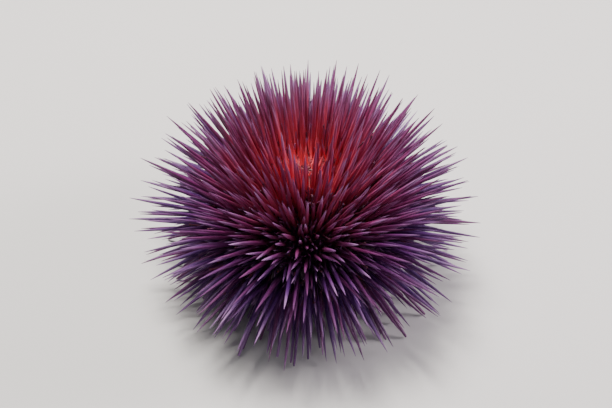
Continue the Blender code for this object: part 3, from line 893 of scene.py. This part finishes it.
def gills():
    """The ten small branched gills round the edge of the mouth membrane."""
    chance = random.Random(SEED + 6)
    stems = Stems()
    out, rise = GILL_BRANCH_WAY
    for around in beside_rays(GILL_TURN):
        root = on_circle(GILL_AT, around, MOUTH_EDGE_Z + GILL_SUNK)
        end = on_circle(GILL_END_AT, around, MOUTH_EDGE_Z - GILL_END_DROP)
        trunk = bent(root, root - Vector((0, 0, GILL_BEND)), end, GILL_TRUNK_FORM, GILL_RADIUS)
        stems.add(trunk, GILL_TINT)
        for i in range(GILL_BRANCHES):
            start, _ = trunk[1 + i * (len(trunk) - 1) // GILL_BRANCHES]
            fan = stray(chance)
            way = (on_circle(out, around, rise) + fan).normalized()
            tip = start + way * chance.uniform(*GILL_BRANCH_LENGTHS) * MM
            tip.z = max(tip.z, MOUTH_EDGE_Z - GILL_LOWEST_DROP)
            middle = (start + tip) / 2 + fan * GILL_BRANCH_BEND
            stems.add(bent(start, middle, tip, GILL_BRANCH_FORM, GILL_RADIUS), chance.random())
    return stems


def lofted(forms):
    """Closed forms through rings of points, as (points, faces). Each form is a list of rings."""
    points = []
    faces = []
    for form in forms:
        first = len(points)
        sides = len(form[0])
        points += [point for ring in form for point in ring]
        last = len(points) - sides
        for upper in range(first, last, sides):
            lower = upper + sides
            for i in range(sides):
                j = (i + 1) % sides
                faces.append((upper + i, upper + j, lower + j, lower + i))
        faces.append(tuple(range(first + sides - 1, first - 1, -1)))
        faces.append(tuple(range(last, last + sides)))
    return points, faces


def tooth_rings(around):
    """One keeled tooth that curves down and in to meet the others at its tip."""
    path = [Vector((out * MM, 0, MOUTH_EDGE_Z + rise * MM)) for out, rise, _ in TOOTH_COURSE]
    turned = Matrix.Rotation(around, 3, "Z")
    rings = []
    for i, (point, (_, _, width)) in enumerate(zip(path, TOOTH_COURSE)):
        run = path[min(i + 1, len(path) - 1)] - path[max(i - 1, 0)]
        outward = Vector((-run.z, 0, run.x)).normalized()
        corners = [Vector((0, across, 0)) + outward * out for across, out in TOOTH_SECTION]
        rings.append([turned @ (point + corner * width * MM) for corner in corners])
    return rings


def jaw_rings(around):
    """One of the five jaws, a wedge that holds a tooth."""
    rings = []
    for rise, inner, outer, half_angle in JAW_COURSE:
        arc = [around + math.radians(half_angle) * share for share in JAW_CORNERS]
        height = MOUTH_EDGE_Z + rise * MM
        ring = [on_circle(outer * MM, turn, height) for turn in arc]
        ring += [on_circle(inner * MM, turn, height) for turn in (arc[-1], around, arc[0])]
        rings.append(ring)
    return rings


def new_object(name, data, material=None):
    """An object in the scene, with one material if one is given."""
    made = bpy.data.objects.new(name, data)
    bpy.context.scene.collection.objects.link(made)
    if material:
        data.materials.append(material)
    return made


def mouth_piece(name, forms, material):
    """Teeth or jaws as one smooth mesh."""
    points, faces = lofted(forms)
    mesh = new_mesh(name, points, [], faces)
    built = bmesh.new()
    built.from_mesh(mesh)
    bmesh.ops.recalc_face_normals(built, faces=built.faces)
    built.to_mesh(mesh)
    built.free()
    mesh.shade_smooth()
    piece = new_object(name, mesh, material)
    rounding = piece.modifiers.new("rounding", "SUBSURF")
    rounding.levels = ROUNDING
    rounding.render_levels = ROUNDING
    return piece


def geometry_tree(name):
    """A new Geometry Nodes tree as (graph, its incoming geometry, its sides, its patch)."""
    tree = bpy.data.node_groups.new(name, "GeometryNodeTree")
    tree.interface.new_socket("Geometry", in_out="OUTPUT", socket_type="NodeSocketGeometry")
    for label, kind in {"Geometry": "NodeSocketGeometry", **SIZES}.items():
        tree.interface.new_socket(label, in_out="INPUT", socket_type=kind)
    graph = Graph(tree)
    came = graph.node("NodeGroupInput")
    return (graph, came.outputs["Geometry"], *[Term(graph, came.outputs[label]) for label in SIZES])


def named(graph, name, kind="FLOAT"):
    """The attribute that the geometry carries under this name."""
    return graph.term("GeometryNodeInputNamedAttribute", {"data_type": kind}, {"Name": name}, "Attribute")


def parts_of(graph, vector):
    """The three numbers of a vector."""
    split = graph.node("ShaderNodeSeparateXYZ", None, {"Vector": vector})
    return [Term(graph, socket) for socket in split.outputs]


def stored(graph, geometry, name, value, kind="FLOAT", domain="POINT"):
    """The geometry with a value stored on it under this name."""
    return graph.node(
        "GeometryNodeStoreNamedAttribute",
        {"data_type": kind, "domain": domain},
        {"Geometry": geometry, "Name": name, "Value": value},
    )


def swept(graph, curve, sides, width):
    """A round solid swept along a curve. Each point knows how far round it is, as 1 to 0 to 1."""
    circle = graph.node("GeometryNodeCurvePrimitiveCircle", None, {"Resolution": sides, "Radius": 1.0})
    ring = stored(graph, circle, "fold", abs(graph.term("GeometryNodeInputIndex") / sides * 2 - 1))
    return graph.node(
        "GeometryNodeCurveToMesh",
        None,
        {"Curve": curve, "Profile Curve": ring, "Scale": width, "Fill Caps": True},
    )


def finish_tree(graph, grown, patch, material):
    """Ends a tree: real geometry, a small patch of the map for each piece at its root, and the material."""
    real = graph.node("GeometryNodeRealizeInstances", None, {"Geometry": grown})
    across, down, _ = parts_of(graph, named(graph, "spot", "FLOAT_VECTOR"))
    across += (named(graph, "fold") - 0.5) * patch
    down += (named(graph, "along") - 0.5) * patch
    place = graph.node("ShaderNodeCombineXYZ", None, {"X": across, "Y": down})
    mapped = stored(graph, real, "OFBake", place, "FLOAT2", "CORNER")
    for spent in ("spot", "way", "size", "girth"):
        mapped = graph.node("GeometryNodeRemoveAttribute", None, {"Geometry": mapped, "Name": spent})
    smooth = graph.node("GeometryNodeSetShadeSmooth", None, {"Geometry": mapped})
    dressed = graph.node("GeometryNodeSetMaterial", None, {"Geometry": smooth, "Material": material})
    graph.node("NodeGroupOutput", None, {"Geometry": dressed})
    return graph.tree


def rod_shape(graph, form, sides):
    """A rod of unit length on +Z, with its rings where the form has them."""
    last = len(form) - 1
    line = graph.node("GeometryNodeCurvePrimitiveLine", None, {"End": (0.0, 0.0, 1.0)})
    line = graph.node("GeometryNodeResampleCurve", None, {"Curve": line, "Count": len(form)})
    step = graph.term("GeometryNodeInputIndex") / last
    curves = [[(i / last, value) for i, value in enumerate(measure)] for measure in zip(*form)]
    height, width = [
        graph.term("ShaderNodeFloatCurve", {"points": points}, {"Value": step}) for points in curves
    ]
    place = graph.node("ShaderNodeCombineXYZ", None, {"Z": height})
    line = graph.node("GeometryNodeSetPosition", None, {"Geometry": line, "Position": place})
    return swept(graph, stored(graph, line, "along", height), sides, width)


def pincer_shape(graph, form, sides):
    """A stalk with small jaws that close over its end."""
    jaw = rod_shape(graph, PINCER_JAW_FORM, PINCER_JAW_SIDES)
    joined = graph.node("GeometryNodeJoinGeometry")
    out, rise = PINCER_JAW_AT
    for i in reversed(range(PINCER_JAWS)):
        place = {"Translation": on_circle(out, math.tau * i / PINCER_JAWS, rise)}
        place["Scale"] = (1.0, 1.0, PINCER_JAW_LENGTH)
        moved = graph.node("GeometryNodeTransform", None, {"Geometry": jaw, **place})
        graph.put(joined.inputs[0], moved)
    graph.put(joined.inputs[0], rod_shape(graph, form, sides))
    return joined


def rod_tree(name, form, material, shape=rod_shape):
    """A tree that grows a rod of the form on every point, along the point's way and at its size."""
    graph, points, sides, patch = geometry_tree(name)
    way = named(graph, "way", "FLOAT_VECTOR")
    lean = graph.node("FunctionNodeAlignRotationToVector", {"axis": "Z"}, {"Vector": way})
    spin = graph.node("FunctionNodeRandomValue", {"data_type": "FLOAT"}, {"Max": math.tau, "Seed": SEED})
    spin = graph.node("FunctionNodeAxisAngleToRotation", None, {"Angle": spin})
    turned = graph.node(
        "FunctionNodeRotateRotation", {"rotation_space": "LOCAL"}, {"Rotation": lean, "Rotate By": spin}
    )
    sockets = {"Points": points, "Instance": shape(graph, form, sides), "Rotation": turned}
    sockets["Scale"] = named(graph, "size", "FLOAT_VECTOR")
    grown = graph.node("GeometryNodeInstanceOnPoints", None, sockets)
    return finish_tree(graph, grown, patch, material)


def stem_tree(name, material):
    """A tree that sweeps a round stem along every chain of points, as thick as each point says."""
    graph, chains, sides, patch = geometry_tree(name)
    curves = graph.node("GeometryNodeMeshToCurve", None, {"Mesh": chains})
    return finish_tree(graph, swept(graph, curves, sides, named(graph, "girth")), patch, material)


def settle(piece, slot, *nodes):
    """Hands a finished piece to the frame's one body and hides the nodes it stands for. The slot is not used.
    """
    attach(piece, "root")
    if nodes:
        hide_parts(*nodes)


def grow(name, roots, tree, sides, slot):
    """Grows one piece from its roots as a plain mesh and hands it to the frame."""
    piece = new_object(name, roots.mesh(name))
    modifier = piece.modifiers.new("growth", "NODES")
    modifier.node_group = tree
    sizes = {"Sides": sides, "Patch": PATCH}
    for item in tree.interface.items_tree:
        if item.name in sizes:
            modifier[item.identifier] = sizes[item.name]
    evaluated = piece.evaluated_get(bpy.context.evaluated_depsgraph_get())
    result = bpy.data.meshes.new_from_object(evaluated)
    piece.modifiers.remove(modifier)
    piece.data = result
    result.name = name
    settle(piece, slot)


def new_material(name):
    """A material with an empty shader, as (material, graph)."""
    material = bpy.data.materials.new(name)
    material.use_nodes = True
    return material, Graph(material.node_tree)


def attribute(graph, name):
    """A number that the mesh carries on its vertices."""
    return graph.term("ShaderNodeAttribute", {"attribute_name": name}, output="Fac")


def own_place(graph):
    """A point's place in Object coordinates."""
    return graph.node("ShaderNodeTexCoord").outputs["Object"]


def noise(graph, place, scale, detail=3.0):
    """Soft mottling from 0 to 1."""
    return graph.term("ShaderNodeTexNoise", None, {"Vector": place, "Scale": scale, "Detail": detail})


def fine_relief(graph, strength, depth, height):
    """Fine relief from a height that changes over the surface, for the shader's Normal socket."""
    bump = {"Strength": strength, "Distance": depth, "Height": height}
    return {"Normal": graph.node("ShaderNodeBump", None, bump)}


def gloss(coat, coat_roughness, specular):
    """A shader's plain values for its thin wet coat and its shine."""
    return {"Coat Weight": coat, "Coat Roughness": coat_roughness, "Specular IOR Level": specular}


def dress(graph, colour, roughness, others):
    """Gives the shader's sockets what changes over the surface, and their plain values."""
    sockets = graph.tree.nodes["Principled BSDF"].inputs
    for name, value in {"Base Color": colour, "Roughness": roughness, **others}.items():
        graph.put(sockets[name], value)


def spine_material(name, root, shaft, blue_shaft_and_low_shade, tip, deep_crimson_and_glow, crimson_and_glow):
    """A silky ribbed spine that pales to its tip, partly a painted highlight, redder near the crown,
    partly a painted glow of light from above, and bluer and darker below, partly painted shade.
    """
    material, graph = new_material(name)
    along, tint, warmth = [attribute(graph, label) for label in ("along", "tint", "warmth")]
    mottling = noise(graph, own_place(graph), 900.0)
    # Bluer and darker spines: each spine's own hue, and painted shade on the lower spines.
    body = graph.mix((tint * 0.75 + (1 - warmth) * 0.45).between(0.35, 0.95), shaft, blue_shaft_and_low_shade)
    body = graph.mix(1 - along.between(0.02, 0.34), body, root)
    # Painted light: the red towards the crown is partly the spines' own colour and partly a painted glow of
    # light from above through their bases.
    red = graph.mix(tint, deep_crimson_and_glow, crimson_and_glow)
    body = graph.mix(warmth * (1 - along.between(0.25, 1.0) * 0.75), body, red)
    # Paler tips, strongest on a few spines: partly their own colour, partly painted highlights.
    body = graph.mix(along.between(0.52, 1.0) * (0.10 + 0.74 * tint**2), body, tip)
    body = graph.mix((mottling - 0.5) * 0.4, body, tip)
    ribs = (attribute(graph, "fold") * (RIBS * math.pi)).math("SINE")
    ridges = fine_relief(graph, 0.55, 0.05 * MM, ribs + mottling)
    dress(graph, body, 0.40 + 0.18 * mottling, {**ridges, **gloss(0.15, 0.22, 0.45)})
    return material


def plate_places():
    """The plates of the crown, as rows of x, y and size."""
    rows = [(0.0, 0.0, VENT_SIZE)]
    for count, at_radius, size, share in PLATES:
        for i in range(count):
            place = on_circle(at_radius, math.tau * (i + share) / count)
            rows.append((place.x, place.y, size))
    return np.array(rows)


def bumps(places, groups, width):
    """1 at each root of the groups and falling away round it."""
    spots = places_of(groups)
    tree = KDTree(len(spots))
    for i, place in enumerate(spots):
        tree.insert(place, i)
    tree.balance()
    near = np.array([tree.find(place)[2] for place in places])
    return np.exp(-((near / width) ** 2))


def ramp(values, low, high):
    """0 up to low, 1 from high, and an even rise between them."""
    return np.clip((values - low) / (high - low), 0.0, 1.0)


def groove_distance(x, y):
    """How far each place on the crown is from the nearest groove between two plates."""
    rows = plate_places()
    reach = (x[:, None] - rows[:, 0]) ** 2 + (y[:, None] - rows[:, 1]) ** 2 - rows[:, 2] ** 2
    order = np.argsort(reach, axis=1)[:, :2]
    nearest = np.take_along_axis(reach, order, axis=1)
    between = rows[order[:, 0], :2] - rows[order[:, 1], :2]
    return (nearest[:, 1] - nearest[:, 0]) / (2 * np.linalg.norm(between, axis=1))


def skin_relief(places, around, large, short_roots):
    """How far the skin stands out from the smooth form at each place, and its bosses and grooves."""
    x, y, z = places.T
    out = np.hypot(x, y)
    above = ramp(z, AMBITUS_Z, AMBITUS_Z + MM)
    crown = above * (1 - ramp(out, *PLATES_FADE))
    groove = np.exp(-((groove_distance(x, y) / GROOVE_WIDTH) ** 2)) * crown
    pore = np.zeros(len(places))
    for ray in range(RAYS):
        place = on_circle(PORE_AT, math.tau * (ray + 0.5) / RAYS)
        pore += np.exp(-((x - place.x) ** 2 + (y - place.y) ** 2) / PORE_WIDTH**2) * above
    boss = bumps(places, large, BOSS_WIDTH)
    small_boss = bumps(places, (short_roots,), SMALL_BOSS_WIDTH)
    lobes = np.cos(RAYS * around) * np.clip(out / TEST_RADIUS, 0, 1) ** 2
    grain = 1.0
    for axis, waves, waver, other, other_waves in GRAIN_WAVES:
        grain = grain * np.sin(places[:, axis] * waves + waver * np.sin(places[:, other] * other_waves))
    membrane = (1 - above) * (1 - ramp(out, *WRINKLES_FADE)) * ramp(out, *WRINKLES_RISE)
    wrinkles = np.sin(around * WRINKLES + 1.2 * np.sin(out * 1500) + 1.5 * np.sin(around * 7))
    wrinkles = wrinkles * (0.6 + 0.4 * np.sin(out * 3900 + 2 * np.sin(around * 9)))
    relief = np.maximum(boss * BOSS_HEIGHT, small_boss * SMALL_BOSS_HEIGHT) - lobes * LOBE_HEIGHT
    relief += grain * GRAIN_HEIGHT + crown * (1 - groove) * PLATE_RISE - pore * PORE_DEPTH
    relief += membrane * wrinkles * WRINKLE_HEIGHT
    paleness = np.maximum(boss, small_boss * SMALL_BOSS_PALENESS)
    return relief, {"boss": paleness, "groove": np.maximum(groove, pore)}


def revolved(radii, heights, around):
    """Rows of places round the axis, one for each radius and height."""
    rows = (np.outer(radii, np.cos(around)), np.outer(radii, np.sin(around)))
    return np.stack((*[row.ravel() for row in rows], np.repeat(heights, len(around))), axis=1)


def skin_mesh(large, short_roots):
    """The one skin over test, crown and mouth membrane, as a closed mesh of rows and columns."""
    whole = OUTLINE_LENGTHS[-1]
    steps = np.interp(
        np.linspace(0.0, 1.0, SKIN_ROWS + 2),
        (0.0, CROWN_ROWS[0], 1.0 - MOUTH_ROWS[0], 1.0),
        (0.0, CROWN_ROWS[1], whole - MOUTH_ROWS[1], whole),
    )
    radii, heights = outline_at(steps)
    outward = np.array((-np.gradient(heights, steps), np.gradient(radii, steps)))
    outward /= np.hypot(*outward)
    around = np.arange(SKIN_COLUMNS) * math.tau / SKIN_COLUMNS
    places = revolved(radii[1:-1], heights[1:-1], around)
    normals = revolved(*outward[:, 1:-1], around)
    relief, marks = skin_relief(places, np.tile(around, SKIN_ROWS), large, short_roots)
    places += normals * relief[:, None]
    top = SKIN_ROWS * SKIN_COLUMNS
    last = top - SKIN_COLUMNS
    faces = []
    for row in range(0, last, SKIN_COLUMNS):
        for i in range(SKIN_COLUMNS):
            j = (i + 1) % SKIN_COLUMNS
            faces.append((row + i, row + SKIN_COLUMNS + i, row + SKIN_COLUMNS + j, row + j))
    for i in range(SKIN_COLUMNS):
        j = (i + 1) % SKIN_COLUMNS
        faces.append((i, j, top))
        faces.append((last + j, last + i, top + 1))
    poles = ((0, 0, heights[0]), (0, 0, heights[-1]))
    mesh = new_mesh("skin", [*places.tolist(), *poles], [], faces)
    mesh.shade_smooth()
    for name, values in marks.items():
        write_attribute(mesh, name, np.append(values, (0.0, 0.0)))
    map_skin(mesh, steps)
    return mesh


def map_skin(mesh, steps):
    """Gives the skin its flat map, each face's corners kept on one side of the round seam."""
    flat = mesh.uv_layers.new(name="OFBake")
    poles = {SKIN_ROWS * SKIN_COLUMNS: 0.0, SKIN_ROWS * SKIN_COLUMNS + 1: steps[-1]}
    spots = []
    for face in mesh.polygons:
        columns = [vertex % SKIN_COLUMNS for vertex in face.vertices if vertex not in poles]
        middle = (min(columns) + 0.5) if max(columns) - min(columns) < 2 else SKIN_COLUMNS - 0.5
        for vertex in face.vertices:
            column = middle if vertex in poles else vertex % SKIN_COLUMNS
            length = poles[vertex] if vertex in poles else steps[1 + vertex // SKIN_COLUMNS]
            spots.append(unwrapped(length, column * math.tau / SKIN_COLUMNS))
    flat.data.foreach_set("uv", np.array(spots, np.float32).ravel())


def skin_material():
    """Moist dark skin, paler round each spine's foot, brown on the mouth, and red at the crown,
    partly its own colour and partly a painted glow of light from above.
    """
    material, graph = new_material("skin")
    place = own_place(graph)
    x, y, z = parts_of(graph, place)
    out = (x * x + y * y) ** 0.5
    mottling = noise(graph, place, 420.0, 4.0)
    # Painted light: the red at the crown, stronger higher up, is partly the skin's own colour and partly a
    # painted glow of light from above.
    crown = 1 - (out + (AMBITUS_Z - z) * 0.35).between(*CROWN_GLOW)
    mouth = (1 - out.between(*MEMBRANE_EDGE)) * (1 - z.between(*MEMBRANE_TOP))
    colour = graph.mix(mottling.between(0.3, 0.7), SKIN_DARK, SKIN_PURPLE)
    colour = graph.mix(attribute(graph, "boss") * 0.45, colour, BOSS_MAUVE)
    colour = graph.mix(crown * 0.9, colour, graph.mix(mottling.between(0.35, 0.75), CROWN_DARK, CROWN_RED_AND_GLOW))
    colour = graph.mix(attribute(graph, "groove") * 0.9, colour, GROOVE_DARK)
    colour = graph.mix(mouth, colour, graph.mix(mottling.between(0.3, 0.7), MEMBRANE_DARK, MEMBRANE_PALE))
    grains = graph.term("ShaderNodeTexVoronoi", {"feature": "F1"}, {"Vector": place, "Scale": 2300.0})
    pits = fine_relief(graph, 0.6, 0.12 * MM, mottling - grains * 0.5)
    dress(graph, colour, 0.48 + 0.25 * mottling, {**pits, **gloss(0.05, 0.3, 0.3)})
    return material


def soft_material(name, shaft, pale, sucker):
    """A soft moist stem, mottled, with an end of its own colour."""
    material, graph = new_material(name)
    mottling = noise(graph, own_place(graph), 1500.0)
    colour = graph.mix(mottling * 0.5 + attribute(graph, "tint") * 0.5, shaft, pale)
    colour = graph.mix(attribute(graph, "along").between(0.86, 0.97), colour, sucker)
    folds = fine_relief(graph, 0.4, 0.05 * MM, mottling)
    flesh = {"Subsurface Weight": 0.25, "Subsurface Scale": 0.4 * MM}
    dress(graph, colour, 0.58 + 0.2 * mottling, {**folds, **gloss(0.04, 0.45, 0.3), **flesh})
    return material


def bony_material(name, pale, dark, scale):
    """Limy white of teeth or jaws, with fine growth bands."""
    material, graph = new_material(name)
    place = own_place(graph)
    height = parts_of(graph, place)[2]
    mottling = noise(graph, place, scale)
    bands = (height * 9000.0 + mottling * 4.0).math("SINE") * 0.5 + 0.5
    colour = graph.mix(bands * 0.35 + mottling * 0.4, pale, dark)
    dress(graph, colour, 0.28 + 0.2 * mottling, fine_relief(graph, 0.3, 0.04 * MM, bands))
    return material


def aim(thing, place, height):
    """Sets a lamp or the camera here, turned to this height on the animal's axis."""
    thing.location = place
    thing.rotation_euler = (Vector((0, 0, height)) - Vector(place)).to_track_quat("-Z", "Y").to_euler()


def studio():
    """The pale floor, soft lights and the camera at the photograph's angle."""
    camera_data = bpy.data.cameras.new("camera")
    camera_data.lens = CAMERA_LENS
    camera_data.clip_start = CAMERA_CLIP
    camera = new_object("camera", camera_data)
    back = Vector((0, -math.cos(CAMERA_ELEVATION), math.sin(CAMERA_ELEVATION)))
    aim(camera, Vector((0, 0, SEEN_HEIGHT)) + back * CAMERA_DISTANCE, SEEN_HEIGHT)
    bpy.context.scene.camera = camera

    corners = [(x * FLOOR_REACH, y * FLOOR_REACH, 0) for x, y in ((-1, -1), (1, -1), (1, 1), (-1, 1))]
    material, graph = new_material("floor")
    dress(graph, colour_of(FLOOR_COLOUR), FLOOR_ROUGHNESS, {})
    floor = new_object("floor", new_mesh("floor", corners, [], [(0, 1, 2, 3)]), material)
    floor.location.z = -FLOOR_DROP

    for name, (place, size, power, colour) in LAMPS.items():
        light = bpy.data.lights.new(name, "AREA")
        light.size = size
        light.energy = power
        light.color = colour
        aim(new_object(name, light), place, LIT_HEIGHT)
    world = bpy.data.worlds.new("world")
    world.use_nodes = True
    sky = world.node_tree.nodes["Background"].inputs
    sky["Color"].default_value = colour_of(SKY_COLOUR)
    sky["Strength"].default_value = SKY_STRENGTH
    bpy.context.scene.world = world


def build():
    """Makes every piece and hands it to the frame."""
    studio()
    long_roots, middle_roots, standing_roots = solid_roots()
    large = (long_roots, standing_roots, middle_roots)
    short_roots = short_spine_roots(large)
    chance = random.Random(SEED + 3)
    small_roots = scattered_roots(*SMALL_SPINES, (*large, short_roots), chance)
    pincer_roots = scattered_roots(*PINCERS, (*large, short_roots), chance)
    zone_nodes = [f"{kind}_{ray + 1}" for kind in ("ambulacrum", "interambulacrum") for ray in range(RAYS)]
    skin = new_object("skin", skin_mesh(large, short_roots), skin_material())
    settle(skin, "spiny_test", *zone_nodes, "apical_disc", "peristome")

    spine_look = spine_material(
        "spine",
        root=(0.010, 0.003, 0.012),
        shaft=(0.130, 0.011, 0.098),
        blue_shaft_and_low_shade=(0.068, 0.010, 0.122),
        tip=(0.46, 0.23, 0.48),
        deep_crimson_and_glow=DEEP_CRIMSON_AND_GLOW,
        crimson_and_glow=CRIMSON_AND_GLOW,
    )
    # The crown spines' bright red and pink tips are partly their own colour and partly a painted highlight
    # where light from above catches the crown.
    crown_look = spine_material(
        "crown_spine",
        root=(0.060, 0.006, 0.012),
        shaft=(0.34, 0.030, 0.070),
        blue_shaft_and_low_shade=(0.24, 0.026, 0.090),
        tip=(0.70, 0.25, 0.32),
        deep_crimson_and_glow=CRIMSON_AND_GLOW,
        crimson_and_glow=CROWN_CRIMSON_AND_HIGHLIGHT,
    )
    foot_look = soft_material("tube_foot", (0.085, 0.016, 0.045), (0.15, 0.035, 0.070), (0.095, 0.022, 0.050))
    gill_look = soft_material("gill", (0.24, 0.09, 0.09), (0.36, 0.17, 0.15), (0.42, 0.22, 0.20))
    pincer_look = soft_material("pincer", (0.10, 0.020, 0.050), (0.16, 0.040, 0.080), (0.17, 0.050, 0.090))
    tooth_look = bony_material("tooth_white", (0.82, 0.77, 0.66), (0.62, 0.53, 0.40), 900.0)
    jaw_look = bony_material("jaw_bone", (0.60, 0.52, 0.44), (0.34, 0.25, 0.21), 600.0)

    # The last number of a row is how many sides each spine or stem has.
    rods = (
        ("long_spines", long_roots, LONG_FORM, 8),
        ("standing_spines", standing_roots, STANDING_FORM, 8),
        ("middle_spines", middle_roots, LONG_FORM, 8),
        ("short_spines", short_roots, SHORT_FORM, 8),
        ("small_spines", small_roots, SMALL_FORM, 6),
    )
    for name, roots, form, sides in rods:
        grow(name, roots, rod_tree(name, form, spine_look), sides, "spiny_test")
    grow("crown_spines", crown_roots(), rod_tree("crown_spines", SHORT_FORM, crown_look), 7, "crown_plates")
    pincer = rod_tree("pincers", STALK_FORM, pincer_look, pincer_shape)
    grow("pincers", pincer_roots, pincer, 5, "soft_membrane")
    free_feet, standing_feet = tube_feet()
    stems = (
        ("tube_feet", free_feet, foot_look, 8),
        ("standing_feet", standing_feet, foot_look, 18),
        ("mouth_feet", mouth_feet(), foot_look, 16),
        ("gills", gills(), gill_look, 8),
    )
    for name, chains, look, sides in stems:
        grow(name, chains, stem_tree(name, look), sides, "soft_membrane")

    between = [math.tau * (ray + 0.5) / RAYS for ray in range(RAYS)]
    teeth = mouth_piece("five_teeth", [tooth_rings(around) for around in between], tooth_look)
    settle(teeth, "teeth", "mouth_teeth")
    settle(mouth_piece("jaws", [jaw_rings(around) for around in between], jaw_look), "teeth")


build()
